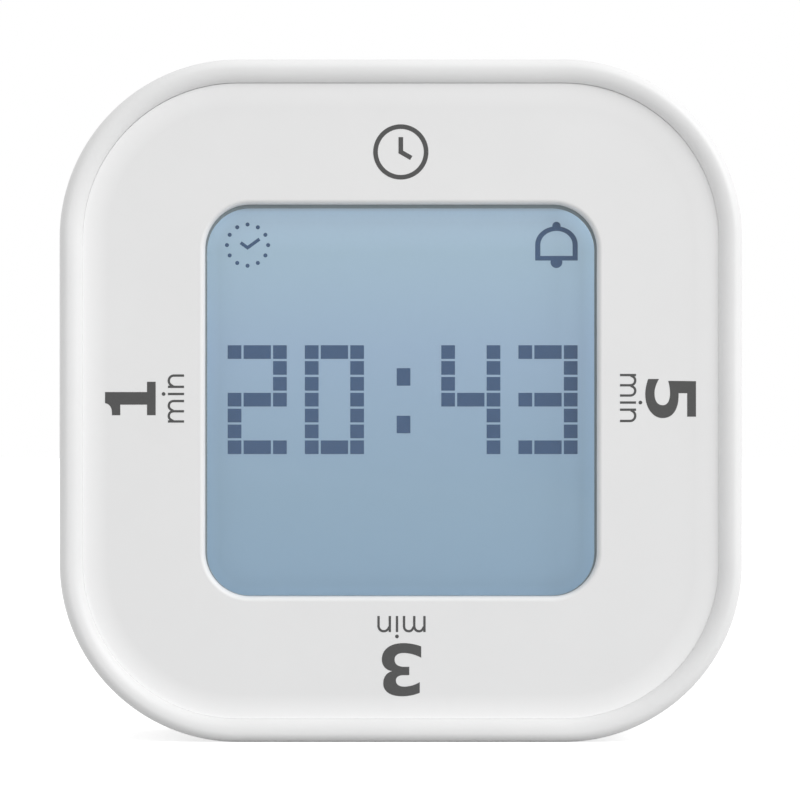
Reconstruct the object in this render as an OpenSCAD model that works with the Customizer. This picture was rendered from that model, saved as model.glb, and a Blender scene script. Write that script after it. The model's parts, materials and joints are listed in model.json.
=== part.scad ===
// Square flip timer: a digital kitchen timer that stands on any of its four sides
// and counts down the minutes printed on the side that is uppermost.
// Each piece is drawn lying on its back, x to the right, y up the face, z from the
// back wall (0) to the crest of the rim, and is stood upright by upright().

/* [Body] */
// Width and height of the square body
body_w = 62; // [61:0.5:70]
// Depth from the back to the crest of the rim
body_d = 28; // [27.5:0.5:34]
// Corner radius seen from the front
corner_r = 16.2; // [15:0.2:17.6]
// Thickness of the side walls, which is the width of the round rim
wall_t = 2.1; // [1.8:0.1:2.4]
// Depth of the front case from rim to seam
front_case_d = 12; // [11:0.5:13]
// Thickness of the back wall
back_wall_t = 2; // [1.8:0.1:2.3]
// Radius of the edge round the back
back_edge_r = 2.5; // [1.5:0.1:2.6]
// Bevel on both sides of the seam
seam_bevel = 0.25; // [0.1:0.05:0.5]
// Height of the locating tongue inside the seam
tongue_h = 1.4; // [0.8:0.1:2]

/* [Face panel] */
// Drop from the crest of the rim to the flat of the panel
panel_drop = 1.05; // [0.8:0.05:1.4]
// Thickness of the panel
panel_t = 1.6; // [1.2:0.1:2]
// Width of the cove along the panel's edge
cove_w = 2.2; // [1.2:0.1:3]
// Rise of the cove at the panel's edge
cove_h = 0.25; // [0.1:0.05:0.4]
// Radius of the cove
cove_r = 12; // [11:0.5:16]
// Thickness of the front wall behind the panel
front_wall_t = 1.5; // [1.2:0.1:2]
// Side of the square window
window_w = 35.5; // [34:0.5:36]
// Corner radius of the window
window_r = 4; // [3:0.25:5]
// Bevel round the window
window_bevel = 0.3; // [0.1:0.05:0.6]
// Radius of the pegs that locate the panel
peg_r = 0.9; // [0.6:0.1:1.1]
// Distance of the pegs from the middle
peg_at = 25.6; // [25.2:0.1:26]

/* [Display] */
// Set-back of the clear window behind the panel
lens_set_back = 0.45; // [0.3:0.05:0.7]
// Width of the clear window's flange behind the panel
lens_flange_w = 1.15; // [0.8:0.05:1.3]
// Thickness of that flange
lens_flange_t = 0.8; // [0.6:0.1:1]
// Cover of the display glass beyond the window at each side
glass_border = 2.25; // [2:0.05:2.4]
// Thickness of one of the two display glasses
glass_t = 1.1; // [0.7:0.1:1.2]
// Width of the contact ledge at the top and bottom of the front glass
ledge_w = 1.7; // [1.5:0.1:2]
// Thickness of the front polariser
polariser_t = 0.2; // [0.1:0.05:0.3]
// Thickness of the reflector film behind the glass
reflector_t = 0.3; // [0.2:0.05:0.4]
// Thickness of the light guide
guide_t = 2.5; // [2.3:0.1:2.8]
// Wall of the display frame
frame_wall = 1.5; // [1.2:0.1:1.7]
// Height of the display frame's lip in front of the glass
lip_h = 0.8; // [0.5:0.1:0.9]
// Thickness of the display frame's screw lugs
lug_t = 1.2; // [0.8:0.1:1.6]

/* [Boards] */
// Thickness of the main board
board_t = 1.6; // [1.2:0.1:1.7]
// Height of the main board's upper and lower edges from the middle
board_half_h = 23.5; // [23:0.25:24.5]
// Height of the main board's screws from the middle
post_y = 10; // [8:0.5:11]
// Thickness of the key board
key_board_t = 1.2; // [1:0.1:1.6]
// Distance of the key board from the back wall
key_board_gap = 5.9; // [5.7:0.1:6.6]
// Thickness of the ribbon between the boards
ribbon_t = 0.3; // [0.2:0.05:0.5]
// Width of the ribbon
ribbon_w = 8; // [5:0.5:8]

/* [Tilt switches] */
// Outer radius of a tilt switch can
can_r = 2.5; // [2.2:0.1:2.6]
// Length of a tilt switch can
can_l = 7.5; // [6.5:0.25:8.5]
// Wall of a tilt switch can
can_wall = 0.6; // [0.4:0.1:0.7]
// Distance of each tilt switch from the middle line
can_x = 12; // [11:0.5:13]
// Height of the tilt switches above the middle
can_y = 14; // [13.5:0.25:15]

/* [Cells] */
// Radius of an AAA cell
cell_r = 5.25; // [5.1:0.05:5.25]
// Length of a cell with its nub
cell_len = 44.5; // [43.5:0.1:44.6]
// Distance between the two cells' axes
cell_pitch = 11.2; // [10.9:0.1:11.4]
// Space between cell and door
cell_air = 0.6; // [0.5:0.05:0.8]
// Height of the middle of the battery bay on the back
bay_y = -6.6; // [-6.8:0.1:-6.4]
// Wall of the battery bay
bay_wall = 1.6; // [1.4:0.1:1.7]
// Thickness of the contact plates
contact_t = 0.4; // [0.3:0.05:0.5]
// Length of a pressed contact spring
spring_len = 4.6; // [4.2:0.1:4.8]
// Radius of the spring wire
wire_r = 0.3; // [0.2:0.05:0.3]
// Radius of a spring's widest turn
spring_r = 3.6; // [3:0.1:3.9]
// Turns of a spring
spring_turns = 3; // [2:1:3]
// Radius of the insulated leads
lead_r = 0.55; // [0.4:0.05:0.6]

/* [Battery door] */
// Thickness of the door
door_t = 1.7; // [1.5:0.05:1.9]
// Width of the ledge that the door lies on
door_ledge = 0.8; // [0.6:0.05:0.95]
// Corner radius of the door
door_r = 2; // [1:0.25:3]
// Gap round the door
door_gap = 0.15; // [0.1:0.05:0.2]
// Distance of the two tongues from the middle
tongue_x = 7; // [6:0.5:7.5]
// Width of a tongue
tongue_w = 5; // [4:0.5:5.5]
// Reach of a tongue behind the back wall
tongue_reach = 2.4; // [2:0.1:2.6]
// Width of the snap latch
latch_w = 9; // [7:0.5:10]
// Thickness of the snap latch's strip
latch_t = 0.9; // [0.7:0.05:1]
// Catch of the latch behind the back wall
latch_catch = 0.4; // [0.3:0.05:0.5]

/* [Controls] */
// Radius of a button
button_r = 2.7; // [2.3:0.1:2.8]
// Distance between buttons
button_pitch = 8; // [7.8:0.1:8.1]
// Height of the button row on the back
buttons_y = 21; // [20.7:0.1:21.2]
// Depth of the button faces below the back
button_recess = 0.3; // [0.1:0.05:0.6]
// Travel of a button
button_travel = 0.4; // [0.2:0.05:0.5]
// Radius of a push switch plunger
plunger_r = 1.7; // [1.2:0.1:2]
// Side of a push switch
push_w = 6; // [5.6:0.1:6.2]
// Height of the push switches and of the slide switch
switch_h = 3.5; // [3.3:0.1:3.7]
// Distance of the middle button and the slide knob from the middle line
controls_x = 8; // [7.8:0.1:8.2]
// Height of the slide knob on the back
knob_y = 12; // [11.8:0.1:12.4]
// Travel of the slide knob to each side
knob_travel = 2; // [1.5:0.1:2]
// Length of the slide knob's finger
knob_l = 2.6; // [2:0.1:2.8]
// Width of the slide knob's finger
knob_w = 2.2; // [1.8:0.1:2.6]
// Depth of the finger recess round the slide knob
knob_recess = 0.9; // [0.6:0.05:1]

/* [Buzzer] */
// Distance of the buzzer from the middle line
buzzer_x = -14.5; // [-14.8:0.1:-14.2]
// Height of the buzzer on the back
buzzer_y = 15.1; // [14.8:0.1:15.3]
// Radius of the brass disc
buzzer_r = 7; // [6:0.1:7.1]
// Height of the seat under the disc
buzzer_seat = 2; // [1.5:0.1:2.5]
// Radius of a sound hole
sound_r = 0.8; // [0.5:0.05:1]
// Radius of the ring of sound holes
sound_ring = 3.2; // [2.4:0.1:4]

/* [Screws] */
// Radius of the case screws' bosses on the front case
boss_r = 2.3; // [2:0.1:2.4]
// Space between a boss and the corner wall
boss_gap = 0.3; // [0.2:0.05:0.4]
// Depth of the case screws' heads below the back
head_depth = 7; // [6:0.25:8]
// Radius of a case screw's head
head_r = 1.9; // [1.6:0.1:1.95]
// Radius of a case screw's shank
shank_r = 0.85; // [0.7:0.05:1]
// Length of a case screw under its head
screw_len = 8.5; // [7:0.5:10]
// Radius of a board screw's head
small_head_r = 1.7; // [1.4:0.1:1.75]
// Height of a board screw's head
small_head_h = 1.1; // [0.9:0.05:1.2]
// Radius of a board screw's shank
small_shank_r = 0.72; // [0.6:0.02:0.8]
// Radius of a board screw's post
post_r = 2; // [1.7:0.1:2.1]

/* [Fits] */
// Hairline between face panel and rim
panel_gap = 0.06; // [0.04:0.01:0.15]
// Clearance of pieces that drop into a pocket
drop_fit = 0.1; // [0.05:0.01:0.15]
// Clearance of pieces that slide
slide_fit = 0.15; // [0.1:0.01:0.2]
// Clearance of a screw in a passing hole
screw_fit = 0.3; // [0.2:0.05:0.4]

/* [Hidden] */
$fn = 72;
past = 1;
bite = 0.5;

// Levels from the front
rim_r = wall_t / 2;
z_bead = body_d - rim_r;
split_z = body_d - front_case_d;
z_panel = body_d - panel_drop;
z_panel_back = z_panel - panel_t;
z_wall_back = z_panel_back - front_wall_t;
z_lens_front = z_panel - lens_set_back;
z_lens_back = z_panel_back - lens_flange_t;
z_glass_front = z_lens_back - drop_fit / 2 - polariser_t;
z_glass_mid = z_glass_front - glass_t;
z_glass_back = z_glass_mid - glass_t;
z_guide_front = z_glass_back - reflector_t;
z_guide_back = z_guide_front - guide_t;
z_board_front = z_guide_back - drop_fit;
z_board_back = z_board_front - board_t;

// Levels from the back
z_seat = door_t + 0.05;
cell_z = door_t + cell_air + cell_r;
z_floor_back = cell_z + cell_r + 0.2;
z_floor_front = z_floor_back + 1.2;
z_key_back = back_wall_t + key_board_gap;
z_key_front = z_key_back + key_board_t;
z_switch_back = z_key_back - switch_h;
plunger_h = 0.8;
z_plunger = z_switch_back - plunger_h;

// Plan of the shell
inner_half = body_w / 2 - wall_t;
corner_c = body_w / 2 - corner_r;
tongue_t = wall_t / 2 - 0.1;
panel_r = corner_r - wall_t - panel_gap;
panel_w = body_w - 2 * (wall_t + panel_gap);
boss_at = corner_c + (corner_r - wall_t - boss_gap - boss_r) / sqrt(2);
boss_end = head_depth + 2.6;
head_bore_r = head_r + 0.2;
tube_r = head_bore_r + 0.9;
corners = [for (sx = [-1, 1], sy = [-1, 1]) [sx, sy]];

// Plan of the display
glass_w = window_w + 2 * glass_border;
glass_h = glass_w + 1;
lens_w = window_w + 2 * lens_flange_w;
cavity_w = glass_w + 2 * drop_fit;
cavity_h = glass_h + 2 * drop_fit;
frame_w = cavity_w + 2 * frame_wall;
frame_h = cavity_h + 2 * frame_wall;
frame_r = 3;
lip_w = lens_w + 4 * drop_fit;
post_x = frame_w / 2 + 2.95;
led = [3.2, 2.4, 1.7];
led_x = -glass_w / 2 + 3;

// Corner cuts that keep pieces clear of the bosses, as the largest sum of x and y
boss_air = 0.25;
corner_wall = 1;
frame_sum = 2 * boss_at - (boss_r + boss_air) * sqrt(2);
cavity_sum = frame_sum - corner_wall * sqrt(2);
glass_sum = cavity_sum - drop_fit * sqrt(2);
board_sum = 2 * boss_at - (boss_r + 1.2) * sqrt(2);

// Plan of the battery bay
bay_l = cell_len + spring_len + 2 * contact_t + drop_fit;
bay_h = cell_pitch + 2 * cell_r + 0.7;
bay_top = bay_y + bay_h / 2;
bay_foot = bay_y - bay_h / 2;
door_w = bay_l + 2 * door_ledge;
door_h = bay_h + 2 * door_ledge;
door_top = bay_y + door_h / 2;
door_foot = bay_y - door_h / 2;
contact_x = bay_l / 2 - contact_t;
cell_ys = [bay_y + cell_pitch / 2, bay_y - cell_pitch / 2];
tab_w = 2.4;
plate_low = cell_z - cell_r + 0.75;
plate_high = cell_z + cell_r - 0.45;
lead_x = bay_l / 2 + bay_wall + lead_r + drop_fit;
tab_end = lead_x + lead_r + drop_fit;
board_half_w = max(tab_end, post_x + small_shank_r + screw_fit + 0.8);
latch_bend = 1.2;
latch_a = door_foot - 0.3 - latch_t;
latch_axis = latch_a - latch_bend;
latch_b = latch_axis - latch_bend - latch_t;
latch_top = 5.2;
tab_plate_w = latch_w + 2;
grip_pitch = 1.2;
grip_depth = 0.25;
pocket_foot = latch_b - latch_catch - 0.5;
pocket_top = latch_top + latch_bend + latch_t + 0.6;

// Plan of the controls
button_xs = [for (i = [-1:1]) controls_x + i * button_pitch];
knob_slot = knob_l + 2 * (knob_travel + 0.2);
flange_l = knob_slot + 2 * knob_travel + 0.2;
flange_w = knob_w + 2.4;
lever = 1.6;
lever_fit = 0.06;
knob_flange_t = 0.8;
knob_socket_h = 1.6;
knob_socket_wall = 0.7;
finger_tip = 0.25;
mark_l = 2.4;
mark_w = 0.5;
mark_depth = 0.15;
key_left = button_xs[0] - push_w / 2 - 1.4;
key_right = button_xs[2] + push_w / 2 + 0.6;
key_foot = knob_y - 4.6;
key_top = buttons_y + push_w / 2 + 0.4;
key_screws = [[button_xs[0] - 2.4, knob_y - 2.4], [button_xs[2] + 1.8, knob_y - 2.4]];
ribbon_r = (z_board_back - z_key_front) / 2;
ribbon_y = inner_half - 0.75 - ribbon_r;
ribbon_x = button_xs[0] + 0.5;

// Plan of the parts on the back of the main board
cap_r = 5;
cap_h = 1.4;
cap_y = bay_top + bay_wall + cap_r + 0.8;
crystal_r = 1;
crystal_l = 6;
crystal_y = cap_y + cap_r + crystal_r + 1;
chip = [2, 1.25, 0.7];
chip_pitch = 3.4;
chip_row = 1.8;
chip_x = -can_x - 1.5 * chip.x - 1;
chip_y = board_half_h - chip.y - 0.25;

// Plan of the buzzer leads
buzzer_lead_r = 0.4;
lead_bend = 1.2;
lead_rise = 1.6;

// Plan of the tilt switches
ball_r = can_r - can_wall - slide_fit;
can_z = z_board_back - can_r - drop_fit;
can_hollow = can_l - can_wall;

// Stands a piece drawn lying on its back upright on the floor
module upright() {
    translate([0, body_d / 2, body_w / 2]) rotate([90, 0, 0]) children();
}

// Sweeps a half section round a rounded square; x is the way out from the corner's centre
module swept_square(w, h, r) {
    for (i = [0:3]) {
        out = i % 2 == 0 ? w / 2 - r : h / 2 - r;
        run = i % 2 == 0 ? h / 2 - r : w / 2 - r;
        rotate([0, 0, 90 * i]) translate([out, run, 0]) {
            rotate_extrude(angle = 90) children();
            rotate([90, 0, 0]) linear_extrude(2 * run) children();
        }
    }
}

// The same with its middle filled between two levels
module swept_plate(w, h, r, low, high) {
    swept_square(w, h, r) children();
    translate([r - w / 2, r - h / 2, low]) cube([w - 2 * r, h - 2 * r, high - low]);
}

// A plain plate with rounded corners
module rounded_plate(w, h, r, low, high) {
    swept_plate(w, h, r, low, high) translate([0, low]) square([r, high - low]);
}

// A block given by its middle in plan and its two levels
module block(x, y, w, h, low, high) {
    translate([x - w / 2, y - h / 2, low]) cube([w, h, high - low]);
}

// A square stood on its corner in plan, which cuts the corners of what it meets
module corner_cut(sum, low, high) {
    rotate([0, 0, 45]) block(0, 0, sum * sqrt(2), sum * sqrt(2), low, high);
}

// A block with its corners cut to clear the bosses
module cut_block(w, h, sum, low, high) {
    intersection() {
        block(0, 0, w, h, low, high);
        corner_cut(sum, low - past, high + past);
    }
}

// A round bar between two levels
module bar(x, y, r, low, high) {
    translate([x, y, low]) cylinder(r = r, h = high - low);
}

// A screw with its head's underside at the origin and its shank along z
module screw(head, head_h, shank, length) {
    slot_w = head * 0.3;
    difference() {
        translate([0, 0, -head_h]) cylinder(r1 = head * 0.8, r2 = head, h = head_h);
        for (turn = [0, 90]) {
            rotate([0, 0, turn]) block(0, 0, head * 1.2, slot_w, -head_h - past, -head_h * 0.45);
        }
    }
    translate([0, 0, -head_h * 0.2]) cylinder(r = shank, h = length - shank + head_h * 0.2);
    translate([0, 0, length - shank]) cylinder(r1 = shank, r2 = shank * 0.4, h = shank);
}

// Front case: round rim, side walls, front wall, screw bosses and board posts
module front_section() {
    polygon([
        [corner_r - wall_t, split_z], [corner_r - seam_bevel, split_z],
        [corner_r, split_z + seam_bevel], [corner_r, z_bead], [corner_r - wall_t, z_bead]
    ]);
    intersection() {
        translate([corner_r - rim_r, z_bead]) circle(rim_r);
        translate([corner_r - wall_t - past, z_bead]) square([wall_t + 2 * past, wall_t]);
    }
    translate([corner_r - wall_t, split_z - tongue_h]) square([tongue_t, tongue_h]);
    translate([0, z_wall_back]) square([corner_r - wall_t, front_wall_t]);
}

module front_case() {
    web_l = boss_r + boss_gap + bite;
    color("white") upright() difference() {
        union() {
            swept_plate(body_w, body_w, corner_r, z_wall_back, z_panel_back) front_section();
            for (c = corners) {
                bar(c.x * boss_at, c.y * boss_at, boss_r, boss_end, z_wall_back + bite);
                translate([c.x * boss_at, c.y * boss_at, 0]) rotate([0, 0, atan2(c.y, c.x)])
                    block(web_l / 2, 0, web_l, 1.2, split_z, z_wall_back + bite);
                bar(c.x * post_x, c.y * post_y, post_r, z_board_front + lug_t, z_wall_back + bite);
            }
        }
        intersection() {
            rounded_plate(frame_w + 0.4, frame_h + 0.4, frame_r, z_wall_back - past, z_panel_back + past);
            corner_cut(frame_sum + 0.2, z_wall_back - 2 * past, z_panel_back + 2 * past);
        }
        for (c = corners) {
            bar(c.x * boss_at, c.y * boss_at, shank_r + 0.05, boss_end - past, head_depth + screw_len + 0.6);
            bar(c.x * post_x, c.y * post_y, small_shank_r + 0.04, z_board_front, z_panel_back - 1.1);
        }
        for (turn = [0:90:270]) {
            rotate([0, 0, turn])
                bar(peg_at, 0, peg_r + drop_fit / 2, z_wall_back - past, z_panel_back + past);
        }
    }
}

// Face panel: flat with a coved edge, a bevelled window and four pegs behind
module panel_section() {
    cove_foot = panel_r - cove_w;
    chord = sqrt(cove_w * cove_w + cove_h * cove_h);
    reach = sqrt(cove_r * cove_r - chord * chord / 4);
    cove_x = cove_foot + cove_w / 2 - reach * cove_h / chord;
    cove_z = z_panel + cove_h / 2 + reach * cove_w / chord;
    translate([0, z_panel_back]) square([panel_r, panel_t]);
    difference() {
        translate([cove_foot, z_panel]) square([cove_w, cove_h]);
        translate([cove_x, cove_z]) circle(cove_r, $fn = 180);
    }
}

module window_section() {
    polygon([
        [0, z_panel_back - past], [window_r, z_panel_back - past], [window_r, z_panel - window_bevel],
        [window_r + window_bevel, z_panel], [window_r + window_bevel, z_panel + past], [0, z_panel + past]
    ]);
}

module face_panel() {
    color("gainsboro") upright() difference() {
        union() {
            swept_plate(panel_w, panel_w, panel_r, z_panel_back, z_panel) panel_section();
            for (turn = [0:90:270]) {
                rotate([0, 0, turn]) bar(peg_at, 0, peg_r, z_wall_back + 0.1, z_panel_back + bite);
            }
        }
        swept_plate(window_w, window_w, window_r, z_panel_back - past, z_panel + past) window_section();
    }
}

// Clear window: a plug in the opening and a flange behind the panel
module lens_section() {
    translate([0, z_lens_back]) square([window_r + lens_flange_w, lens_flange_t]);
    translate([0, z_panel_back]) square([window_r - drop_fit, z_lens_front - z_panel_back]);
}

module display_window() {
    color("lightblue", 0.4) upright()
        swept_plate(window_w, window_w, window_r, z_lens_back, z_lens_front) lens_section();
}

// Frame that holds the display glass, light guide and contact strips on the board
module display_frame() {
    color("whitesmoke") upright() difference() {
        union() {
            intersection() {
                rounded_plate(frame_w, frame_h, frame_r, z_board_front, z_glass_front + lip_h);
                corner_cut(frame_sum, z_board_front - past, z_glass_front + lip_h + past);
            }
            for (c = corners) {
                lug_l = post_x - frame_w / 2 + bite;
                block(c.x * (post_x - lug_l / 2), c.y * post_y, lug_l, post_r * 1.5,
                    z_board_front, z_board_front + lug_t);
                bar(c.x * post_x, c.y * post_y, post_r, z_board_front, z_board_front + lug_t);
            }
        }
        cut_block(cavity_w, cavity_h, cavity_sum, z_board_front - past, z_glass_front);
        cut_block(lip_w, lip_w, cavity_sum, z_glass_front - past, z_glass_front + lip_h + past);
        for (c = corners) {
            bar(c.x * post_x, c.y * post_y, small_shank_r + screw_fit,
                z_board_front - past, z_board_front + lug_t + past);
        }
    }
}

// Two display glasses, the rear one shorter so that contact ledges stay bare
module display_glass() {
    color("lightsteelblue", 0.5) upright() {
        cut_block(glass_w, glass_h, glass_sum, z_glass_mid, z_glass_front);
        cut_block(glass_w, glass_h - 2 * ledge_w, glass_sum, z_glass_back, z_glass_mid);
    }
}

module front_polariser() {
    side = lens_w - 4 * drop_fit;
    color("lightslategray") upright()
        cut_block(side, side, glass_sum, z_glass_front, z_glass_front + polariser_t);
}

module rear_reflector() {
    side = lens_w - 4 * drop_fit;
    color("silver") upright() cut_block(side, side, glass_sum, z_guide_front, z_glass_back);
}

// Light guide with a pocket for the lamp on the board
module light_guide() {
    guide_h = glass_h - 2 * ledge_w - 2 * drop_fit;
    color("aliceblue", 0.6) upright() difference() {
        cut_block(glass_w, guide_h, glass_sum, z_guide_back, z_guide_front);
        block(led_x, 0, led.x + 2 * drop_fit, led.y + 2 * drop_fit,
            z_guide_back - past, z_board_front + led.z + drop_fit);
    }
}

module backlight_led() {
    color("lightyellow") upright() block(led_x, 0, led.x, led.y, z_board_front, z_board_front + led.z);
}

// Elastomer strip that joins the glass to the board
module contact_strip(side) {
    strip_w = ledge_w - 0.3;
    color("deeppink") upright() intersection() {
        block(0, side * (glass_h / 2 - ledge_w / 2 + 0.05), glass_w - 1.5, strip_w,
            z_board_front, z_glass_mid);
        corner_cut(glass_sum, z_board_front - past, z_glass_mid + past);
    }
}

module upper_contact_strip() { contact_strip(1); }

module lower_contact_strip() { contact_strip(-1); }

// Main board: eight-sided to pass the corner bosses
module main_board() {
    near = board_sum - board_half_w;
    far = board_sum - board_half_h;
    color("darkgreen") upright() translate([0, 0, z_board_back]) linear_extrude(board_t) difference() {
        polygon([
            [board_half_w, -near], [board_half_w, near], [far, board_half_h], [-far, board_half_h],
            [-board_half_w, near], [-board_half_w, -near], [-far, -board_half_h], [far, -board_half_h]
        ]);
        for (c = corners) {
            translate([c.x * post_x, c.y * post_y]) circle(small_shank_r + screw_fit);
        }
    }
}

// Domed resin cap over the controller chip
module controller_cap() {
    dome_r = (cap_r * cap_r + cap_h * cap_h) / (2 * cap_h);
    color([0.08, 0.08, 0.09]) upright() translate([0, cap_y, z_board_back]) rotate_extrude() intersection() {
        translate([0, dome_r - cap_h]) circle(dome_r, $fn = 180);
        translate([0, -cap_h - past]) square([cap_r + past, cap_h + past]);
    }
}

module clock_crystal() {
    color("silver") upright() translate([-crystal_l / 2, crystal_y, z_board_back - crystal_r])
        rotate([0, 90, 0]) cylinder(r = crystal_r, h = crystal_l);
}

// Rows of chip resistors and capacitors on the back of the main board
module chip_parts() {
    color("tan") upright() for (row = [0:1], i = [0:3]) {
        block(chip_x + i * chip_pitch, chip_y - row * chip_row, chip.x, chip.y,
            z_board_back - chip.z, z_board_back);
    }
}

// Ball tilt switch, drawn along z from its base and laid at 45 degrees behind the board
module tilt_place(side) {
    translate([side * can_x, can_y, can_z]) rotate([0, 0, -45 * side]) rotate([-90, 0, 0])
        translate([0, 0, -can_l / 2]) children();
}

module tilt_can(side) {
    color("gold") upright() tilt_place(side) difference() {
        cylinder(r = can_r, h = can_l);
        translate([0, 0, -past]) cylinder(r = can_r - can_wall, h = can_hollow + past);
    }
}

module tilt_base(side) {
    base_h = 1.2;
    pin_r = 0.25;
    pin_out = 1.2;
    color("black") upright() tilt_place(side) {
        translate([0, 0, -base_h]) cylinder(r = can_r, h = base_h);
        for (x = [-1.1, 1.1]) {
            translate([x, 0, -base_h - pin_out]) cylinder(r = pin_r, h = pin_out + bite);
            translate([x, pin_r, -base_h - pin_out]) rotate([90, 0, 0])
                cylinder(r = pin_r, h = z_board_back - can_z + pin_r);
        }
    }
}

module tilt_ball(side) {
    color("silver") upright() tilt_place(side) translate([0, 0, ball_r + 0.05]) sphere(ball_r);
}

module left_tilt_can() { tilt_can(-1); }

module left_tilt_base() { tilt_base(-1); }

module left_tilt_ball() { tilt_ball(-1); }

module right_tilt_can() { tilt_can(1); }

module right_tilt_base() { tilt_base(1); }

module right_tilt_ball() { tilt_ball(1); }

module board_screws() {
    color("silver") upright() for (c = corners) {
        translate([c.x * post_x, c.y * post_y, z_board_back])
            screw(small_head_r, small_head_h, small_shank_r, z_panel_back - 1.5 - z_board_back);
    }
}

// Rear case: side walls with a rounded back edge, battery bay, screw tubes and switch guides
module rear_section() {
    edge_x = corner_r - back_edge_r;
    difference() {
        union() {
            square([edge_x, back_wall_t]);
            intersection() {
                translate([edge_x, back_edge_r]) circle(back_edge_r);
                translate([edge_x, back_edge_r - 2 * back_edge_r]) square(2 * back_edge_r);
            }
            polygon([
                [corner_r - wall_t, back_edge_r], [corner_r, back_edge_r], [corner_r, split_z - seam_bevel],
                [corner_r - seam_bevel, split_z], [corner_r - wall_t, split_z]
            ]);
        }
        translate([corner_r - wall_t - past, split_z - tongue_h - 0.1])
            square([tongue_t + 0.1 + past, tongue_h + past]);
    }
}

module bay_solids() {
    outer_l = bay_l + 2 * bay_wall;
    outer_h = bay_h + 2 * bay_wall;
    pocket_w = tab_plate_w + 0.3 + 2 * bay_wall;
    block(0, bay_y, outer_l, outer_h, z_seat, z_floor_front);
    block(0, (pocket_foot - bay_wall + bay_foot) / 2, pocket_w, bay_foot - pocket_foot + bay_wall,
        z_seat, pocket_top + 1.2);
}

module bay_hollows() {
    door_mouth_w = door_w + 2 * door_gap;
    door_mouth_h = door_h + 2 * door_gap;
    tab_mouth_w = tab_plate_w + 2 * door_gap;
    tab_mouth_foot = latch_b - door_gap;
    block(0, bay_y, bay_l, bay_h, -past, z_floor_back);
    translate([0, bay_y, 0]) rounded_plate(door_mouth_w, door_mouth_h, door_r, -past, z_seat);
    block(0, (tab_mouth_foot + bay_foot) / 2, tab_mouth_w, bay_foot - tab_mouth_foot,
        -past, back_wall_t + past);
    block(0, (pocket_foot + bay_foot) / 2 + bite, tab_mouth_w, bay_foot - pocket_foot + 2 * bite,
        back_wall_t, pocket_top);
    for (sx = [-1, 1]) {
        block(sx * tongue_x, bay_top, tongue_w + 0.6, 4 * bay_wall,
            back_wall_t, back_wall_t + tongue_reach + 0.3);
        block(sx * tongue_x, bay_top - bite, tongue_w + 0.6, 2 * (door_ledge + bite),
            z_seat, back_wall_t + bite);
    }
    for (y = cell_ys) {
        block(bay_l / 2 + bay_wall / 2, y, bay_wall + past, tab_w + 0.4, z_seat, plate_high + 0.2);
    }
}

// Lips that hold the contact plates against the ends of the bay, and the rib between the cells
module bay_lips() {
    lip_t = 0.6;
    lip_x = contact_x - 0.05 - lip_t / 2;
    for (sx = [-1, 1], sy = [-1, 1]) {
        block(sx * lip_x, bay_y + sy * (bay_h / 2 - 0.3), lip_t, 1.2, z_seat, z_floor_back + bite);
    }
    block(lip_x, bay_y, lip_t, 1.8, z_seat, z_floor_back + bite);
    block((lip_x + bay_l / 2) / 2 + bite / 2, bay_y, bay_l / 2 - lip_x + bite, 0.5,
        z_seat, z_floor_back + bite);
    block(0, bay_y, bay_l * 0.8, 0.8, z_floor_back - 2, z_floor_back + bite);
}

module guide_solids() {
    for (c = corners) {
        bar(c.x * boss_at, c.y * boss_at, tube_r, back_wall_t - bite, boss_end - 0.1);
    }
    for (p = key_screws) {
        bar(p.x, p.y, post_r - 0.1, back_wall_t - bite, z_key_back);
    }
    bar((button_xs[0] + button_xs[1]) / 2, (buttons_y + knob_y) / 2 + 0.2, 1.1,
        back_wall_t - bite, z_key_back);
    translate([buzzer_x, buzzer_y, back_wall_t]) difference() {
        translate([0, 0, -bite]) cylinder(r = buzzer_r + 1, h = buzzer_seat + bite + 0.7);
        cylinder(r = buzzer_r - 0.5, h = buzzer_seat + past);
        translate([0, 0, buzzer_seat]) cylinder(r = buzzer_r + drop_fit, h = past);
    }
}

module guide_hollows() {
    for (c = corners) {
        bar(c.x * boss_at, c.y * boss_at, head_bore_r, -past, head_depth);
        bar(c.x * boss_at, c.y * boss_at, shank_r + screw_fit, head_depth - past, boss_end + past);
        bar(c.x * post_x, c.y * post_y, small_head_r + screw_fit,
            z_board_back - small_head_h - drop_fit, z_board_back + past);
    }
    for (p = key_screws) {
        bar(p.x, p.y, small_shank_r + 0.04, back_wall_t + 0.4, z_key_back + past);
    }
    for (x = button_xs) {
        bar(x, buttons_y, button_r + slide_fit, -past, back_wall_t + past);
    }
    block(controls_x, knob_y, knob_slot, knob_w + 2 * slide_fit, -past, back_wall_t + past);
    translate([controls_x, knob_y, 0])
        rounded_plate(knob_slot + 4, knob_w + 2.8, 1.2, -past, knob_recess);
    bar(buzzer_x, buzzer_y, sound_r, -past, back_wall_t + past);
    for (turn = [0:60:300]) {
        bar(buzzer_x + sound_ring * cos(turn), buzzer_y + sound_ring * sin(turn), sound_r,
            -past, back_wall_t + past);
    }
}

module rear_case() {
    color("white") upright() {
        difference() {
            union() {
                swept_plate(body_w, body_w, corner_r, 0, back_wall_t) rear_section();
                bay_solids();
                guide_solids();
            }
            bay_hollows();
            guide_hollows();
        }
        bay_lips();
    }
}

module case_screws() {
    color("silver") upright() for (c = corners) {
        translate([c.x * boss_at, c.y * boss_at, head_depth]) screw(head_r, 1.4, shank_r, screw_len);
    }
}

// Key board on its posts, with the push switches and the slide switch on its back
module key_board() {
    color("darkgreen") upright() difference() {
        translate([key_left, key_foot, z_key_back])
            cube([key_right - key_left, key_top - key_foot, key_board_t]);
        for (p = key_screws) {
            bar(p.x, p.y, small_shank_r + screw_fit, z_key_back - past, z_key_front + past);
        }
    }
}

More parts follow.
